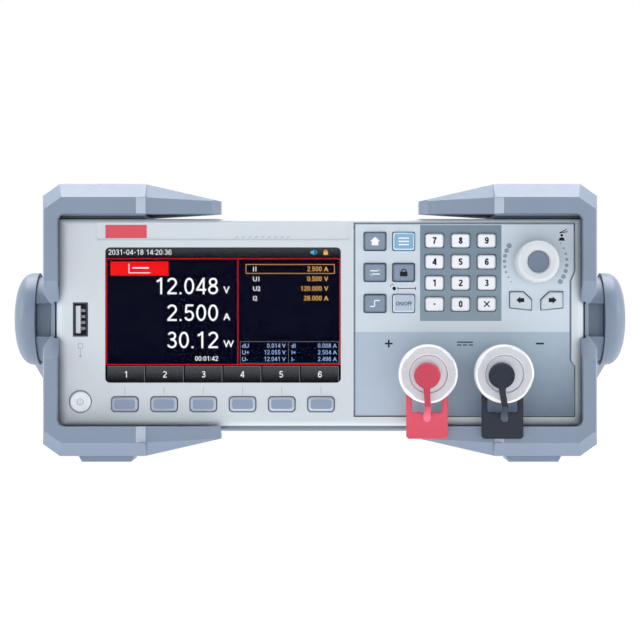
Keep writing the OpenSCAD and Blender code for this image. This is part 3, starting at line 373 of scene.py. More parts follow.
PAINTS = {
    "bottom_chassis": STEEL, "rear_panel": STEEL, "top_cover": COVER, "front_bezel": BEZEL,
    "control_panel": PANEL, "display_window": GLASS, "lcd_module": BRIGHT, "usb_socket": SHELL,
    "front_board": BOARD, "main_board": BOARD, "heat_sink": SINK, "mains_transformer": CORE,
    "fan_frame": BLACK, "fan_rotor": BLACK, "rear_connectors": BLACK, "knob_encoder": BLACK,
    "positive_post": POST, "negative_post": POST, "positive_fork": RED, "negative_fork": DARK,
    "positive_plug": CAP_RED, "negative_plug": DARK, "positive_nut": NUT, "negative_nut": NUT,
    "positive_washer": BRASS, "negative_washer": BRASS, "front_left_bumper": BUMPER,
    "front_right_bumper": BUMPER, "rear_bumpers": BUMPER, "pivot_bosses": HANDLE, "handle": HANDLE,
    "encoder_shaft": BRIGHT, "knob": KNOB, "power_button": BUTTON, "menu_key": MENU, "input_key": PALE,
    "arrow_left": ARROW, "arrow_right": ARROW,
}
for name, node in NODES.items():
    if name in PAINTS:
        paint = PAINTS[name]
    elif name.startswith("softkey"):
        paint = SOFTKEY
    elif name.startswith("key_"):
        paint = DIGIT
    else:
        paint = FUNCTION
    node.data.materials.clear()
    node.data.materials.append(paint)

# Softened edges on the moulded CAD pieces


def soften(node, width, segments=3, angle=25.0):
    """Rounds the sharp edges of a CAD piece by modifiers; width is in millimetres."""
    o = NODES[node]
    weld = o.modifiers.new("weld", "WELD")
    weld.merge_threshold = 0.000002
    flat = o.modifiers.new("flat", "DECIMATE")
    flat.decimate_type = "DISSOLVE"
    flat.angle_limit = math.radians(0.5)
    bevel = o.modifiers.new("bevel", "BEVEL")
    bevel.width = width * MM
    bevel.segments = segments
    bevel.limit_method = "ANGLE"
    bevel.angle_limit = math.radians(angle)
    bevel.harden_normals = False
    o.modifiers.new("normals", "WEIGHTED_NORMAL")


for name in ("front_left_bumper", "front_right_bumper", "rear_bumpers"):
    soften(name, 0.6)
soften("handle", 1.0)
for name in NODES:
    if name.startswith(("softkey", "key_", "arrow")) or name.endswith("_key"):
        soften(name, 0.22, 2, 20.0)
for name in ("positive_nut", "negative_nut"):
    soften(name, 0.35, 3, 15.0)


# Printed marks, legends and the display picture


# Advance from one figure to the next and the gap between two, as shares of the height
FIGURE_STEP = {".": 0.32, ":": 0.34, " ": 0.4, "-": 0.55}
STEP, STEP_GAP = 0.72, 0.12
# Height of the capitals of the built-in typeface at size 1
CAP_SHARE = 0.729


def oval(x, y, rx, ry, a0=0.0, a1=360.0, n=20):
    """Points of an oval or of a part of it; a part has both its ends."""
    steps = [math.radians(a0 + (a1 - a0) * i / n) for i in range(n + (abs(a1 - a0) < 360))]
    return [(x + rx * math.cos(t), y + ry * math.sin(t)) for t in steps]


def figure(c, pen):
    """Strokes of a figure, 0.6 wide and 1 high: lists of points, and whether each is closed."""
    h = pen / 2
    if c == "0":
        return [(oval(0.3, 0.5, 0.3 - h, 0.5 - h), True)]
    if c == "1":
        return [([(0.10, 0.76), (0.30, 0.87), (0.37, 0.98)], False), ([(0.37, 1.0), (0.37, 0.0)], False)]
    if c == "2":
        return [(oval(0.3, 0.7, 0.3 - h, 0.3 - h, 165, -30, 14) + [(0.06, h + 0.02)], False),
                ([(0.02, h), (0.59, h)], False)]
    if c == "3":
        return [(oval(0.29, 0.745, 0.265 - h, 0.255 - h, 160, -88, 14), False),
                (oval(0.29, 0.285, 0.3 - h, 0.285 - h, 88, -162, 14), False),
                ([(0.2, 0.535), (0.32, 0.535)], False)]
    if c == "4":
        return [([(0.45, 0.0), (0.45, 0.99)], False), ([(0.43, 0.95), (0.05, 0.28)], False),
                ([(0.0, 0.27), (0.6, 0.27)], False)]
    if c == "5":
        return [([(0.55, 1 - h), (0.12, 1 - h)], False), ([(0.14, 0.97), (0.09, 0.5)], False),
                (oval(0.29, 0.325, 0.3 - h, 0.325 - h, 138, -160, 16), False)]
    if c in "69":
        parts = [(oval(0.3, 0.315, 0.3 - h, 0.315 - h), True),
                 (oval(0.32, 0.48, 0.32 - h, 0.52 - h, 190, 32, 16), False)]
        return parts if c == "6" else [([(0.6 - u, 1 - v) for u, v in q], k) for q, k in parts]
    if c == "7":
        return [([(0.03, 1 - h), (0.57, 1 - h)], False),
                ([(0.54, 0.95), (0.36, 0.62), (0.26, 0.3), (0.22, 0.0)], False)]
    if c == "8":
        return [(oval(0.3, 0.745, 0.26 - h, 0.255 - h), True), (oval(0.3, 0.28, 0.3 - h, 0.28 - h), True)]
    if c == "-":
        return [([(0.05, 0.42), (0.4, 0.42)], False)]
    dots = {".": (h,), ":": (0.2, 0.65)}.get(c, ())
    return [([(0.1, v - h), (0.1, v + h)], False) for v in dots]


class Print:
    """Flat marks of one material on one body, drawn on the bezel face."""

    def __init__(self, name, material, body="chassis", out=0.0):
        self.name, self.material, self.body, self.out = name, material, body, out
        self.verts, self.faces = [], []

    def poly(self, points):
        start = len(self.verts)
        self.verts += [at(x, z, self.out) for x, z in points]
        self.faces.append(list(range(start, len(self.verts))))

    def rect(self, x0, z0, x1, z1):
        self.poly([(x0, z0), (x1, z0), (x1, z1), (x0, z1)])

    def frame(self, x0, z0, x1, z1, w):
        self.rect(x0, z0, x1, z0 + w)
        self.rect(x0, z1 - w, x1, z1)
        self.rect(x0, z0 + w, x0 + w, z1 - w)
        self.rect(x1 - w, z0 + w, x1, z1 - w)

    def disc(self, x, z, r, n=24):
        self.poly(oval(x, z, r, r, n=n))

    def arc(self, x, z, r, w, a0, a1, n=24):
        ends = [math.radians(a0 + (a1 - a0) * i / n) for i in range(n + 1)]
        for a, b in zip(ends, ends[1:]):
            self.poly([(x + q * math.cos(t), z + q * math.sin(t))
                       for q, t in ((r - w / 2, a), (r + w / 2, a), (r + w / 2, b), (r - w / 2, b))])

    def line(self, x0, z0, x1, z1, w):
        d = math.hypot(x1 - x0, z1 - z0)
        nx, nz = -(z1 - z0) / d * w / 2, (x1 - x0) / d * w / 2
        self.poly([(x0 + nx, z0 + nz), (x0 - nx, z0 - nz), (x1 - nx, z1 - nz), (x1 + nx, z1 + nz)])

    def path(self, points, w):
        for (x0, z0), (x1, z1) in zip(points, points[1:]):
            self.line(x0, z0, x1, z1, w)

    def stroke(self, points, w, closed=False):
        """A line of width w with mitred bends, as one strip of faces."""
        n = len(points)
        start = len(self.verts)
        for i, (x, z) in enumerate(points):
            xa, za = points[(i - 1) % n] if closed or i else points[0]
            xb, zb = points[(i + 1) % n] if closed or i < n - 1 else points[-1]
            before, after = Vector((x - xa, z - za)), Vector((xb - x, zb - z))
            way = (before.normalized() + after.normalized()).normalized()
            bend = max(0.5, way.dot((after if after.length else before).normalized()))
            nx, nz = -way.y * w / 2 / bend, way.x * w / 2 / bend
            self.verts += [at(x + nx, z + nz, self.out), at(x - nx, z - nz, self.out)]
        for i in range(n if closed else n - 1):
            a, b = start + 2 * i, start + 2 * ((i + 1) % n)
            self.faces.append([a, a + 1, b + 1, b])

    def number(self, words, x, z, cap, align="CENTER", pen=0.13):
        """Figures drawn with a pen of the given share of their height, centred in height on z."""
        width = (sum(FIGURE_STEP.get(c, STEP) for c in words) - STEP_GAP) * cap
        x -= {"LEFT": 0.0, "CENTER": width / 2, "RIGHT": width}[align]
        for c in words:
            for points, closed in figure(c, pen):
                self.stroke([(x + u * cap, z + (v - 0.5) * cap) for u, v in points], pen * cap, closed)
            x += FIGURE_STEP.get(c, STEP) * cap

    def text(self, words, x, z, cap, align="CENTER", weight=0.0, stretch=1.0):
        """Words with capitals of height cap, centred in height on z."""
        curve = bpy.data.curves.new("words", "FONT")
        curve.body = words
        curve.size = cap / CAP_SHARE
        curve.align_x = align
        curve.offset = weight
        curve.resolution_u = 3
        o = bpy.data.objects.new("words", curve)
        bpy.context.scene.collection.objects.link(o)
        mesh = bpy.data.meshes.new_from_object(o.evaluated_get(bpy.context.evaluated_depsgraph_get()))
        start = len(self.verts)
        self.verts += [at(x + v.co.x * stretch, z + v.co.y - cap / 2, self.out) for v in mesh.vertices]
        self.faces += [[start + i for i in p.vertices] for p in mesh.polygons]
        bpy.data.objects.remove(o)
        bpy.data.curves.remove(curve)
        bpy.data.meshes.remove(mesh)

    def build(self):
        mesh = bpy.data.meshes.new(self.name)
        mesh.from_pydata(self.verts, [], self.faces)
        mesh.materials.append(self.material)
        o = bpy.data.objects.new(self.name, mesh)
        bpy.context.scene.collection.objects.link(o)
        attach(o, self.body)


def legends():
    """Figures and pictograms on the keys; each rides its key."""
    on_key = KEY_OUT + INK_LIFT
    names = ("7", "8", "9", "4", "5", "6", "1", "2", "3", ".", "0", "x")
    nodes = ("key_7", "key_8", "key_9", "key_4", "key_5", "key_6",
             "key_1", "key_2", "key_3", "key_point", "key_0", "key_escape")
    for i, (mark, node) in enumerate(zip(names, nodes)):
        x, z = DIGIT_X[i % 3], DIGIT_Z[i // 3]
        p = Print("legend_" + node, INK, node, on_key)
        if mark == ".":
            p.disc(x, z, 0.38)
        elif mark == "x":
            p.line(x - 1.1, z - 1.1, x + 1.1, z + 1.1, 0.5)
            p.line(x - 1.1, z + 1.1, x + 1.1, z - 1.1, 0.5)
        else:
            p.number(mark, x, z, 2.7, pen=0.22)
        p.build()
    x0, x1 = FUNCTION_X
    z0, z1, z2 = FUNCTION_Z
    p = Print("legend_home_key", PALE_INK, "home_key", on_key)
    p.poly([(x0 - 2.0, z0 + 0.1), (x0, z0 + 1.8), (x0 + 2.0, z0 + 0.1), (x0 + 1.35, z0 + 0.1),
            (x0 + 1.35, z0 - 1.6), (x0 - 1.35, z0 - 1.6), (x0 - 1.35, z0 + 0.1)])
    p.build()
    p = Print("legend_menu_key", PALE_INK, "menu_key", on_key)
    for i in (-1, 0, 1):
        p.rect(x1 - 2.1, z0 + i * 1.3 - 0.25, x1 + 2.1, z0 + i * 1.3 + 0.25)
    p.build()
    p = Print("legend_mode_key", PALE_INK, "mode_key", on_key)
    for s in (1, -1):
        p.line(x0 - 2.0, z1 + 0.65 * s, x0 + 2.0, z1 + 0.65 * s, 0.42)
        p.poly([(x0 + u * s, z1 + v * s) for u, v in ((2.3, 0.65), (1.2, 1.5), (1.2, 0.44))])
    p.build()
    p = Print("legend_lock_key", INK, "lock_key", on_key)
    p.rect(x1 - 1.5, z1 - 1.6, x1 + 1.5, z1 + 0.3)
    p.arc(x1, z1 + 0.3, 0.95, 0.42, 0, 180)
    p.build()
    p = Print("legend_trigger_key", PALE_INK, "trigger_key", on_key)
    p.path([(x0 - 2.1, z2 - 1.2), (x0 - 0.2, z2 - 1.2), (x0 - 0.2, z2 + 1.2), (x0 + 1.9, z2 + 1.2)], 0.45)
    p.build()
    p = Print("legend_input_key", INK, "input_key", on_key)
    p.text("ON/OFF", x1, z2, 1.6, weight=0.03, stretch=0.8)
    p.build()
    for side, node in ((-1, "arrow_left"), (1, "arrow_right")):
        x, z = ARROW_X + side * ARROW_HALF, ARROW_Z + 0.3
        p = Print("legend_" + node, INK, node, on_key)
        p.poly([(x + side * u, z + v) for u, v in ((1.7, 0.0), (0.1, 1.42), (0.1, 0.82), (-1.5, 0.82),
                                                   (-1.5, -0.82), (0.1, -0.82), (0.1, -1.42))])
        p.build()
    p = Print("legend_power_button", LINE_INK, "power_button", POWER_OUT + INK_LIFT)
    p.arc(COLUMN_X, POWER_Z, 1.25, 0.3, -235, 55)
    p.rect(COLUMN_X - 0.15, POWER_Z + 0.2, COLUMN_X + 0.15, POWER_Z + 1.6)
    p.build()


def face_print():
    """Marks printed on the bezel, the strip and the control panel, and a line of painted shade along
    the panel's border.
    """
    p = Print("socket_mark", LINE_INK, "chassis", INK_LIFT)
    x, z = COLUMN_X, -11.2
    p.frame(x - 0.95, z + 0.6, x + 0.95, z + 2.9, 0.26)
    p.rect(x - 0.13, z - 2.0, x + 0.13, z + 0.6)
    p.disc(x, z - 2.4, 0.5)
    p.build()
    p = Print("softkey_ticks", LINE_INK, "chassis", INK_LIFT)
    for i in range(6):
        x = SCREEN_X + SOFT_PITCH * (i - 2.5)
        p.rect(x - 0.12, TICK_Z[0], x + 0.12, TICK_Z[1])
    p.build()
    p = Print("panel_marks", INK, "chassis", PANEL_OUT + INK_LIFT)
    z, pen, arm = SIGN_Z, 0.34, 1.55
    p.rect(PLUS_X - arm, z - pen, PLUS_X + arm, z + pen)
    p.rect(PLUS_X - pen, z - arm, PLUS_X + pen, z - pen)
    p.rect(PLUS_X - pen, z + pen, PLUS_X + pen, z + arm)
    p.rect(MINUS_X - 1.6, z - pen, MINUS_X + 1.6, z + pen)
    x = CURRENT_X
    p.rect(x - 3.2, z + 0.35, x + 3.2, z + 0.8)
    for i in (-1, 0, 1):
        p.rect(x + i * 2.35 - 0.85, z - 0.8, x + i * 2.35 + 0.85, z - 0.35)
    x, z = 97.4, 34.8
    p.poly([(x - 1.3, z - 1.9), (x + 1.3, z - 1.9), (x + 0.8, z - 0.6), (x - 0.8, z - 0.6)])
    p.disc(x, z + 0.25, 0.55)
    p.line(x - 0.9, z + 1.25, x + 2.1, z + 2.75, 0.34)
    p.line(x - 0.5, z + 1.2, x + 2.4, z + 1.75, 0.34)
    x, z = 29.9, 13.65
    p.disc(x, z, 0.75)
    p.arc(x - 0.75, z + 0.85, 0.75, 0.22, 40, 200, 10)
    p.rect(x + 1.5, z - 0.15, x + 8.6, z + 0.15)
    for u in (1.5, 8.6):
        p.rect(x + u - 0.14, z - 0.65, x + u + 0.14, z + 0.65)
    p.build()
    # Painted shade: a slate line along the panel's border stands for the shadow in the groove round it.
    p = Print("panel_border_shade", SLATE_INK, "chassis", PANEL_OUT + INK_LIFT)
    p.stroke([(PANEL_X + u, PANEL_Z + v) for u, v in PANEL_EDGE], 0.4, True)
    p.build()
    p = Print("knob_scale", SLATE_INK, "chassis", PANEL_OUT + INK_LIFT)
    dots = 8
    for i in range(dots):
        share = i / (dots - 1)
        for reach, turn in ((12.5, 148 + 71 * share), (12.7, -38 + 75 * share)):
            a = math.radians(turn)
            p.disc(KNOB_X + reach * math.cos(a), KNOB_Z + reach * math.sin(a), 1.05 - 0.77 * share)
    p.build()
    p = Print("accent_tab", ACCENT, "chassis", STRIP_OUT + INK_LIFT)
    p.rect(-86.5, STRIP_Z - 2.7, -69.8, STRIP_Z + 2.7)
    p.build()
    p = Print("strip_lines", LINE_INK, "chassis", STRIP_OUT + INK_LIFT)
    for i in range(9):
        p.line(-34 + i * 2.6, STRIP_Z - 2.6, -33 + i * 2.6, STRIP_Z - 1.9, 0.3)
    p.build()


def display_picture():
    """The lit picture behind the window, in thin layers with made-up readings."""
    under, inset = 0.6, 0.5
    left, right = SCREEN_X - SCREEN_W / 2 - under, SCREEN_X + SCREEN_W / 2 + under
    top, low = SCREEN_Z + SCREEN_H / 2 + under, SCREEN_Z - SCREEN_H / 2 - under
    x0, x1 = SCREEN_X - SCREEN_W / 2 + inset, SCREEN_X + SCREEN_W / 2 - inset
    bar_z, bar_h, tab_z, tab_h = 26.1, 4.5, -17.7, 6.6
    z_bar = BEZEL_Z + bar_z * MM
    z_tab = BEZEL_Z + tab_z * MM
    night = lit("display_night", rgb(2, 3, 22))
    bar = lit("display_bar", rgb(62, 64, 70), rgb(22, 23, 27), (z_bar, z_bar + bar_h * MM))
    tab = lit("display_tab", rgb(74, 76, 82), rgb(16, 17, 20), (z_tab - (tab_h + 0.2) * MM, z_tab))
    rim = lit("display_rim", rgb(120, 122, 128))
    red = lit("display_red", rgb(214, 22, 30))
    tag = lit("display_tag", rgb(238, 20, 24))
    white = lit("display_white", rgb(246, 248, 252))
    amber = lit("display_amber", rgb(236, 178, 92))
    blue = lit("display_blue", rgb(150, 178, 226))
    cyan = lit("display_cyan", rgb(60, 190, 230))

    def layer(name, material, lift):
        return Print("display_" + name, material, "chassis", PICTURE_OUT + lift)

    p = layer("ground", night, 0.0)
    p.rect(left, low, right, top)
    p.build()
    p = layer("status_bar", bar, 0.01)
    p.rect(left, bar_z, right, top)
    p.build()
    p = layer("tabs", tab, 0.01)
    pitch = (x1 - x0) / 6
    for i in range(6):
        p.rect(x0 + i * pitch + 0.15, tab_z - tab_h, x0 + (i + 1) * pitch - 0.35, tab_z)
    p.build()
    p = layer("tab_rims", rim, 0.02)
    for i in range(6):
        p.rect(x0 + (i + 1) * pitch - 0.55, tab_z - tab_h, x0 + (i + 1) * pitch - 0.35, tab_z)
        p.rect(x0 + i * pitch + 0.15, tab_z - 0.18, x0 + (i + 1) * pitch - 0.35, tab_z)
    p.build()
    p = layer("red_lines", red, 0.02)
    p.frame(x0 - 0.3, tab_z + 0.5, x1 + 0.3, bar_z - 0.2, 0.35)
    split = -33.2
    p.rect(split - 0.17, tab_z + 0.8, split + 0.17, bar_z - 0.5)
    p.build()
    p = layer("tag", tag, 0.02)
    p.rect(-84.7, 18.9, -61.2, 24.6)
    p.build()
    p = layer("figures", white, 0.03)
    edge, small, least = -41.2, 1.9, 1.75
    for words, unit, z in (("12.048", "V", 14.7), ("2.500", "A", 3.9), ("30.12", "W", -7.1)):
        p.number(words, edge, z, 6.7, "RIGHT", 0.118)
        p.text(unit, edge + 2.2, z - 1.5, 2.9, "LEFT", weight=0.05)
    p.number("00:01:42", edge, -14.6, small, "RIGHT")
    p.path([(-77.2, 23.7), (-77.2, 20.0), (-68.6, 20.0)], 0.3)
    p.path([(-75.9, 22.0), (-69.2, 22.0)], 0.5)
    p.number("2031-04-18 14:20:36", x0 + 0.6, 28.35, 2.1, "LEFT", 0.11)
    settings = (("I1", "2.500", "A", 21.6), ("U1", "0.500", "V", 17.6),
                ("U2", "120.000", "V", 13.7), ("I2", "28.000", "A", 9.8))
    for label, _, _, z in settings:
        p.text(label, split + 6.0, z, small, "LEFT", weight=0.02)
    for i in range(6):
        p.number(str(i + 1), x0 + (i + 0.5) * pitch - 0.1, tab_z - 3.3, 2.6)
    p.build()
    p = layer("settings", amber, 0.03)
    for _, words, unit, z in settings:
        p.number(words, x1 - 7.2, z, small, "RIGHT")
        p.text(unit, x1 - 5.4, z, small, weight=0.03)
    p.frame(split + 3.2, 19.7, x1 - 2.0, 23.5, 0.18)
    p.build()
    p = layer("readings", blue, 0.03)
    for z, mark_u, volts, mark_i, amps in ((-9.4, "dU", "0.014", "dI", "0.008"),
                                           (-12.1, "U+", "12.055", "I+", "2.504"),
                                           (-14.8, "U-", "12.041", "I-", "2.496")):
        p.number(volts, split + 17.2, z, least, "RIGHT")
        p.text("V", split + 18.6, z, least, weight=0.02)
        p.number(amps, x1 - 3.4, z, least, "RIGHT")
        p.text("A", x1 - 1.9, z, least, weight=0.02)
        p.text(mark_u, split + 1.6, z, least, "LEFT", weight=0.02)
        p.text(mark_i, split + 21.6, z, least, "LEFT", weight=0.02)
    p.build()
    p = layer("frames", rim, 0.025)
    p.frame(split + 0.9, tab_z + 1.1, x1 - 0.2, -7.7, 0.15)
    p.rect(split + 20.4, tab_z + 1.2, split + 20.55, -7.8)
    p.build()
    p = layer("speaker", cyan, 0.03)
    sx, sz = -2.6, 28.3
    p.poly([(sx - 1.2, sz - 0.5), (sx - 0.5, sz - 0.5), (sx + 0.3, sz - 1.1), (sx + 0.3, sz + 1.1),
            (sx - 0.5, sz + 0.5), (sx - 1.2, sz + 0.5)])
    p.arc(sx + 0.2, sz, 1.0, 0.25, -50, 50, 8)
    p.build()
    p = layer("padlock", amber, 0.03)
    p.rect(1.4, 27.3, 3.2, 28.6)
    p.arc(2.3, 28.6, 0.6, 0.3, 0, 180, 10)
    p.build()


legends()
face_print()
display_picture()


# Small solid pieces


def solid(name, verts, faces, material, body="chassis"):
    mesh = bpy.data.meshes.new(name)
    mesh.from_pydata(verts, [], faces)
    mesh.materials.append(material)
    o = bpy.data.objects.new(name, mesh)
    bpy.context.scene.collection.objects.link(o)
    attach(o, body)
    return o


def turned(name, profile, place, axis, material, body="chassis", n=32):
    """A turned piece: profile of (radius, height) in millimetres along the axis, placed in metres."""
    axis = Vector(axis).normalized()
    side = axis.orthogonal().normalized()
    other = axis.cross(side)
    verts, faces = [], []
    for r, h in profile:
        for i in range(n):
            a = 2 * math.pi * i / n
            turn = side * math.cos(a) + other * math.sin(a)
            verts.append(Vector(place) + axis * h * MM + turn * r * MM)
    for k in range(len(profile) - 1):
        for i in range(n):
            j = (i + 1) % n
            faces.append([k * n + i, k * n + j, (k + 1) * n + j, (k + 1) * n + i])
    faces.append(list(range(n - 1, -1, -1)))
    faces.append([(len(profile) - 1) * n + i for i in range(n)])
    o = solid(name, verts, faces, material, body)
    for p in o.data.polygons:
        p.use_smooth = len(p.vertices) == 4


def brick(name, low, high, material, soft=0.0):
    """A box between two points in metres, its edges softened by soft millimetres."""
    (a, b, c), (d, e, f) = low, high
    verts = [(x, y, z) for z in (c, f) for y in (b, e) for x in (a, d)]
    faces = [[0, 2, 3, 1], [4, 5, 7, 6], [0, 1, 5, 4], [2, 6, 7, 3], [0, 4, 6, 2], [1, 3, 7, 5]]
    o = solid(name, verts, faces, material)
    if soft:
        bevel = o.modifiers.new("bevel", "BEVEL")
        bevel.width = soft * MM
        bevel.segments = 2


def screw(name, place, axis, r):
    """Pan-head screw with a cross recess; place, in metres, is on the face that its axis leaves."""
    axis = Vector(axis).normalized()
    side = axis.orthogonal().normalized()
    other = axis.cross(side)
    n, arm, half = 24, 0.6 * r, 15

    def cross(a):
        """How far the recess reaches at an angle in degrees."""
        a = abs((a + 45) % 90 - 45)
        if a <= half:
            return arm / math.cos(math.radians(a))
        return arm * math.tan(math.radians(half)) / math.sin(math.radians(a))

    rings = [(r, 0.0), (r, 0.3 * r), (0.94 * r, 0.48 * r), (0.8 * r, 0.6 * r), (0.68 * r, 0.64 * r)]
    verts, faces = [], []
    for share, h in rings + [(None, 0.65 * r), (None, 0.2 * r)]:
        for i in range(n):
            a = 360 * i / n
            reach = (share or cross(a)) * MM
            turn = side * math.cos(math.radians(a)) + other * math.sin(math.radians(a))
            verts.append(Vector(place) + axis * h * MM + turn * reach)
    for k in range(len(rings) + 1):
        for i in range(n):
            j = (i + 1) % n
            faces.append([k * n + i, k * n + j, (k + 1) * n + j, (k + 1) * n + i])
    faces.append([(len(rings) + 1) * n + i for i in range(n)])
    faces.append(list(range(n - 1, -1, -1)))
    solid(name, verts, faces, BRIGHT)


def screws():
    """Screws of the rear panel, the fan and the cover."""
    low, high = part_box("rear_panel")
    rear, inset, fan_half = high[1], 0.007, 0.025
    columns, rows = ((low[k] + inset, high[k] - inset) for k in (0, 2))
    for i, (x, z) in enumerate([(x, z) for z in rows for x in columns]):
        screw("rear_screw_%d" % (i + 1), (x, rear, z), (0, 1, 0), 2.7)
    low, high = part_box("fan_frame")
    x, z = (low[0] + high[0]) / 2, (low[2] + high[2]) / 2
    for i, (u, v) in enumerate(((-1, -1), (1, -1), (-1, 1), (1, 1))):
        screw("fan_screw_%d" % (i + 1), (x + u * fan_half, rear, z + v * fan_half), (0, 1, 0), 2.9)
    low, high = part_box("top_cover")
    for i, (x, side) in enumerate(((low[0], -1), (high[0], 1))):
        for k, y in enumerate((low[1] + 0.082, high[1] - 0.062)):
            screw("cover_screw_%d" % (2 * i + k + 1), (x, y, low[2] + inset), (side, 0, 0), 2.7)


def small_pieces():
    """The dimple of the knob, and the tongue and contacts of the socket."""
    turned("knob_dimple", [(4.35, -1.7), (4.35, -1.05), (3.9, -0.95), (2.0, -1.15), (0.05, -1.25)],
           at(KNOB_X, KNOB_Z, KNOB_TOP), (0, -1, 0), DIMPLE, "knob", 48)
    brick("usb_tongue", at(COLUMN_X - 2.05, USB_Z - 5.6, -9.9),
          at(COLUMN_X - 0.05, USB_Z + 5.6, -1.0), SOCKET, soft=0.15)
    for i in range(4):
        z = USB_Z + 3.6 - 2.4 * i
        brick("usb_contact_%d" % (i + 1), at(COLUMN_X - 0.06, z - 0.6, -9.0),
              at(COLUMN_X + 1.7, z + 0.6, -2.6), CONTACT)


def thread(side, x):
    """Crests of the thread on a post, in the room that the nut leaves round it."""
    root, crest = THREAD_R
    profile = [(root, -0.5)]
    for i in range(CRESTS):
        profile += [(crest, -0.7 - i), (crest, -1.0 - i), (root, -1.2 - i), (root, -1.5 - i)]
    turned(side + "_thread", profile[::-1], at(x, POST_Z, CORE_OUT), (0, -1, 0), POST, n=64)


small_pieces()
screws()
thread("positive", POST_X[0])
thread("negative", POST_X[1])

# Soft forks and the straps that tie the plug caps to them

FORK_OUT, FORK_T, FORK_HALF, SLOT_HALF = 9.35, 1.6, 8.3, 6.0
FLAP_R, CAP_FACE, STRAP_HALF, STRAP_T = 4.75, 25.6, 1.2, 1.15
FLAP_SHIFT = (-0.3, -0.75)
STRAP_END, TIP_R = -18.6, 1.5
CAP_TILT = (0.174, 0.122)
CAP_CROWN = 0.06
# Heights on a strap, in millimetres from the post's middle: where it narrows from the flap, where it
# begins to drift aside, the end of the tilted cap, and where it widens to its tip
NECK_Y, DRIFT_Y, TILT_Y, SPREAD_Y = -3.4, -6.0, -5.0, -14.5
SPREAD_L = 2.0
# The strap flares towards the flap: by this much at this height, at this rate
FLARE, FLARE_Y, FLARE_RATE = 0.75, -4.2, 1.6
# The tilt of the cap fades from the strap over this length, down to this height
FADE_Y, FADE_L = -6.4, 2.4
# Route of a strap: height, and how far it lies behind the cap face
ROUTE = ((FLAP_R, 0.0), (-4.0, 0.0), (-6.2, -0.15), (-9.0, -0.1), (-11.9, -0.2), (-13.1, -2.0),
         (-14.3, -5.8), (-15.4, -10.0), (-16.3, -12.7), (-17.6, -14.05), (STRAP_END, -14.35))
# Heights between which the strap turns pale towards the fork, a painted highlight where it slopes
# back and faces up
HIGHLIGHT_Z = (-12.4, -17.2)


def pvc(name, colour, painted_highlight):
    """Soft PVC with a painted highlight: it turns pale towards the fork, where the strap slopes back."""
    def paint(tree, coord, tint):
        high, low = (BEZEL_Z + (POST_Z + v) * MM for v in HIGHLIGHT_Z)
        return mix_colour(tree, ramp(tree, split_xyz(tree, coord)["Z"], high, low), tint, painted_highlight)

    return surface(name, colour, 0.45, mottle=0.06, specular=0.35, paint=paint, **VINYL)


def fork_plate(side, x, material):
    """Flat fork with a square slot whose lower edge is cut in shallow waves."""
    right = [(SLOT_HALF, 5.0), (SLOT_HALF, -15.0)]
    waves = [(SLOT_HALF - 0.5 - t, -15.5 - 0.14 * math.cos(t * 1.7) - 0.1 * math.sin(t * 0.9 + 1.1))
             for t in [i * 0.5 for i in range(23)]]
    outline = ([(FORK_HALF, 4.2), (FORK_HALF - 0.5, 5.4), (SLOT_HALF + 0.3, 5.4)] + right + waves
               + [(-SLOT_HALF, -15.0), (-SLOT_HALF, 5.0), (-SLOT_HALF - 0.3, 5.4),
                  (-FORK_HALF + 0.5, 5.4), (-FORK_HALF, 4.2), (-FORK_HALF, -25.2),
                  (-FORK_HALF + 0.9, -26.1), (FORK_HALF - 0.9, -26.1), (FORK_HALF, -25.2)])
    n = len(outline)
    verts = [at(x + u, POST_Z + v, FORK_OUT + h) for h in (0, FORK_T) for u, v in outline]
    faces = [list(range(n)), list(range(2 * n - 1, n - 1, -1))]
    faces += [[i, n + i, n + (i + 1) % n, (i + 1) % n] for i in range(n)]
    o = solid(side + "_fork_plate", verts, faces, material)
    bevel = o.modifiers.new("bevel", "BEVEL")
    bevel.width = 0.4 * MM
    bevel.segments = 2
    bevel.limit_method = "ANGLE"
    bevel.angle_limit = math.radians(60)
    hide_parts(side + "_fork")


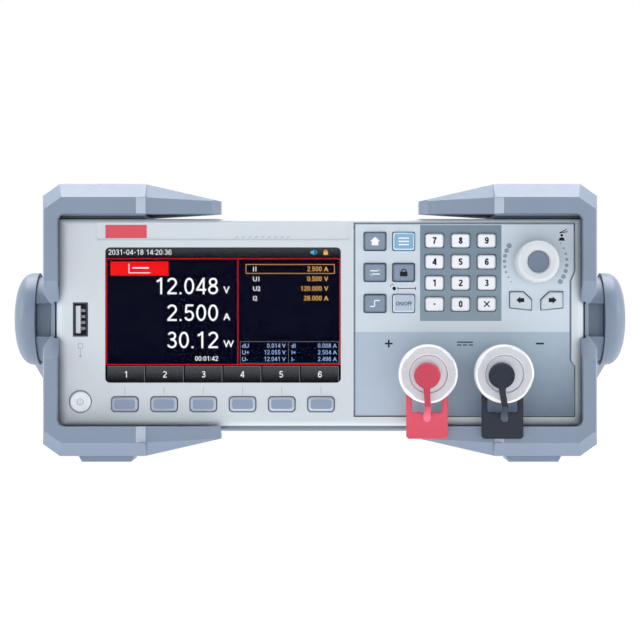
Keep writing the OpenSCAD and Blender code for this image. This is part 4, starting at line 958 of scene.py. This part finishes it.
def strap(side, x, lean, drift, material):
    """Flap on the cap face that narrows to a strap, goes over the nut and down to the fork."""
    rows = []
    for (y0, o0), (y1, o1) in zip(ROUTE, ROUTE[1:]):
        steps = 26 if y0 == FLAP_R else 8 if y1 == STRAP_END else 4
        rows += [(y0 + (y1 - y0) * i / steps, o0 + (o1 - o0) * i / steps) for i in range(steps)]
    rows.append(ROUTE[-1])
    verts, back, across = [], [], 9
    for k, (y, drop) in enumerate(rows):
        (ya, da), (yb, db) = rows[max(k - 1, 0)], rows[min(k + 1, len(rows) - 1)]
        along = Vector((yb - ya, db - da)).normalized()
        inward = Vector((-along.y, along.x)) * STRAP_T
        disc = math.sqrt(max(0.0, FLAP_R ** 2 - y ** 2)) if y > -FLAP_R else 0.0
        half = max(disc, 0.05)
        if y < NECK_Y:
            half = max(disc, STRAP_HALF + FLARE * math.exp((y - FLARE_Y) * FLARE_RATE))
        if y < SPREAD_Y:
            half = STRAP_HALF + (TIP_R - STRAP_HALF) * min(1.0, (SPREAD_Y - y) / SPREAD_L)
        tip = STRAP_END + TIP_R - y
        if tip > 0:
            half = max(0.1, math.sqrt(max(0.0, TIP_R ** 2 - tip ** 2)))
        aside = lean + FLAP_SHIFT[0] + drift * max(0.0, (y - DRIFT_Y) / (STRAP_END - DRIFT_Y))
        on_cap = min(1.0, max(0.0, (y - FADE_Y) / FADE_L))
        for i in range(across):
            u = half * (2 * i / (across - 1) - 1)
            tilt = on_cap * (CAP_TILT[0] * u + CAP_TILT[1] * max(y, TILT_Y))
            crown = CAP_CROWN * (1 - (u / half) ** 2)
            z, out = POST_Z + y + FLAP_SHIFT[1], CAP_FACE + drop + tilt + crown
            verts.append(at(x + u + aside, z, out))
            back.append(at(x + u + aside, z + inward.x, out + inward.y))
    n = len(rows)
    faces = []
    for k in range(n - 1):
        for i in range(across - 1):
            a, b = k * across + i, (k + 1) * across + i
            faces.append([a, a + 1, b + 1, b])
            faces.append([n * across + q for q in (b, b + 1, a + 1, a)])
    rim = list(range(across)) + [k * across + across - 1 for k in range(1, n)]
    rim += [(n - 1) * across + i for i in range(across - 2, -1, -1)]
    rim += [k * across for k in range(n - 2, 0, -1)]
    for a, b in zip(rim, rim[1:] + rim[:1]):
        faces.append([b, a, n * across + a, n * across + b])
    mesh = bpy.data.meshes.new(side + "_strap")
    mesh.from_pydata(verts + back, [], faces)
    mesh.materials.append(material)
    for q in mesh.polygons:
        q.use_smooth = True
    o = bpy.data.objects.new(side + "_strap", mesh)
    bpy.context.scene.collection.objects.link(o)
    o.modifiers.new("edges", "EDGE_SPLIT").split_angle = math.radians(50)
    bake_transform(o)


# The second colour of each strap is a painted highlight towards the fork.
RED_SOFT = pvc("red_soft_pvc", rgb(190, 57, 80), rgb(222, 116, 138))
DARK_SOFT = pvc("dark_soft_pvc", rgb(12, 25, 44), rgb(76, 88, 102))
fork_plate("positive", POST_X[0], RED)
fork_plate("negative", POST_X[1], DARK)
strap("positive", POST_X[0], -0.5, 0.8, RED_SOFT)
strap("negative", POST_X[1], -1.0, 2.2, DARK_SOFT)

# Floor, light and camera


def seen_ray(tree):
    """1 for rays that the viewer, a gloss or a glass sends out, 0 for the rest."""
    path = tree.nodes.new("ShaderNodeLightPath")
    gloss = maths(tree, "MAXIMUM", path.outputs["Is Camera Ray"], path.outputs["Is Glossy Ray"])
    return maths(tree, "MAXIMUM", gloss, path.outputs["Is Transmission Ray"])


# The floor seen by diffuse rays: its glow and its own grey. Seen by the viewer: white, with a share of
# paper near the part that takes its soft shadow, out to the far end of the fade, in metres
FLOOR_BOUNCE, FLOOR_DULL = 1.32, 0.15
FLOOR_WHITE, FLOOR_SHARE, FLOOR_FADE, FLOOR_HALF = 1.12, 0.88, (0.25, 0.7), 4
SKY_STRENGTH = 0.12
# Lamps: place, width, height and watts; all of them face the middle of the front
MIDDLE = (0, FACE_Y, 0.06)
LAMPS = {
    "top_light": ((0, FACE_Y + 0.36, 1.1), 1.6, 1.0, 27),
    "front_light": ((0.1, FACE_Y - 1.5, 0.75), 1.4, 0.8, 2.0),
    "low_light": ((0, FACE_Y - 1.1, 0.14), 1.4, 0.24, 1.8),
    "left_light": ((-1.3, FACE_Y - 0.2, 0.35), 0.7, 0.9, 6.5),
    "right_light": ((1.3, FACE_Y - 0.2, 0.35), 0.7, 0.9, 6.5),
}
CAMERA_BACK, CAMERA_Z, CAMERA_LENS = 0.850, 0.0575, 118.7


def either(tree, fac, a, b):
    """One of two shaders, or a blend of them, by a factor."""
    n = tree.nodes.new("ShaderNodeMixShader")
    for socket, value in zip(n.inputs, (fac, a, b)):
        link(tree, value, socket)
    return n.outputs[0]


def floor_material():
    m, tree, out = new_material("floor_white")
    paper = tree.nodes.new("ShaderNodeBsdfDiffuse")
    paper.inputs["Color"].default_value = (0.86, 0.87, 0.88, 1)
    bounce = tree.nodes.new("ShaderNodeEmission")
    bounce.inputs["Strength"].default_value = FLOOR_BOUNCE
    dull = tree.nodes.new("ShaderNodeBsdfDiffuse")
    dull.inputs["Color"].default_value = (FLOOR_DULL, FLOOR_DULL, FLOOR_DULL, 1)
    lifted = tree.nodes.new("ShaderNodeAddShader")
    link(tree, dull.outputs[0], lifted.inputs[0])
    link(tree, bounce.outputs[0], lifted.inputs[1])
    white = tree.nodes.new("ShaderNodeEmission")
    white.inputs["Strength"].default_value = FLOOR_WHITE
    near = tree.nodes.new("ShaderNodeVectorMath")
    near.operation = "LENGTH"
    link(tree, tree.nodes.new("ShaderNodeTexCoord").outputs["Object"], near.inputs[0])
    fade = maths(tree, "MULTIPLY_ADD", ramp(tree, near.outputs["Value"], *FLOOR_FADE), 1 - FLOOR_SHARE)
    fade.node.inputs[2].default_value = FLOOR_SHARE
    seen = either(tree, fade, paper.outputs[0], white.outputs[0])
    link(tree, either(tree, seen_ray(tree), lifted.outputs[0], seen), out.inputs["Surface"])
    return m


mesh = bpy.data.meshes.new("floor")
mesh.from_pydata([(u * FLOOR_HALF, v * FLOOR_HALF, 0) for u, v in ((-1, -1), (1, -1), (1, 1), (-1, 1))],
                 [], [[0, 1, 2, 3]])
floor = bpy.data.objects.new("floor", mesh)
bpy.context.scene.collection.objects.link(floor)
mesh.materials.append(floor_material())


def studio():
    """A world that is white to the viewer and faintly blue to everything else."""
    world = bpy.data.worlds.new("studio")
    bpy.context.scene.world = world
    world.use_nodes = True
    tree = world.node_tree
    tree.nodes.clear()
    sky = tree.nodes.new("ShaderNodeBackground")
    sky.inputs["Color"].default_value = (0.93, 0.96, 1.0, 1)
    sky.inputs["Strength"].default_value = SKY_STRENGTH
    bright = tree.nodes.new("ShaderNodeBackground")
    bright.inputs["Color"].default_value = (1, 1, 1, 1)
    out = tree.nodes.new("ShaderNodeOutputWorld")
    link(tree, either(tree, seen_ray(tree), sky.outputs[0], bright.outputs[0]), out.inputs["Surface"])


def softbox(name, place, width, height, watts):
    """Rectangular area lamp that faces the middle of the front."""
    lamp = bpy.data.lights.new(name, "AREA")
    lamp.shape = "RECTANGLE"
    lamp.size, lamp.size_y = width, height
    lamp.energy = watts
    o = bpy.data.objects.new(name, lamp)
    o.location = place
    o.rotation_euler = (Vector(MIDDLE) - Vector(place)).to_track_quat("-Z", "Y").to_euler()
    bpy.context.scene.collection.objects.link(o)


studio()
for name, lamp in LAMPS.items():
    softbox(name, *lamp)

camera = bpy.data.cameras.new("camera")
camera.sensor_width = 36
camera.lens = CAMERA_LENS
camera.clip_end = 20
eye = bpy.data.objects.new("camera", camera)
eye.location = (0, FACE_Y - CAMERA_BACK, CAMERA_Z)
eye.rotation_euler = (math.pi / 2, 0, 0)
bpy.context.scene.collection.objects.link(eye)
bpy.context.scene.camera = eye
bpy.context.scene.view_settings.view_transform = "Standard"
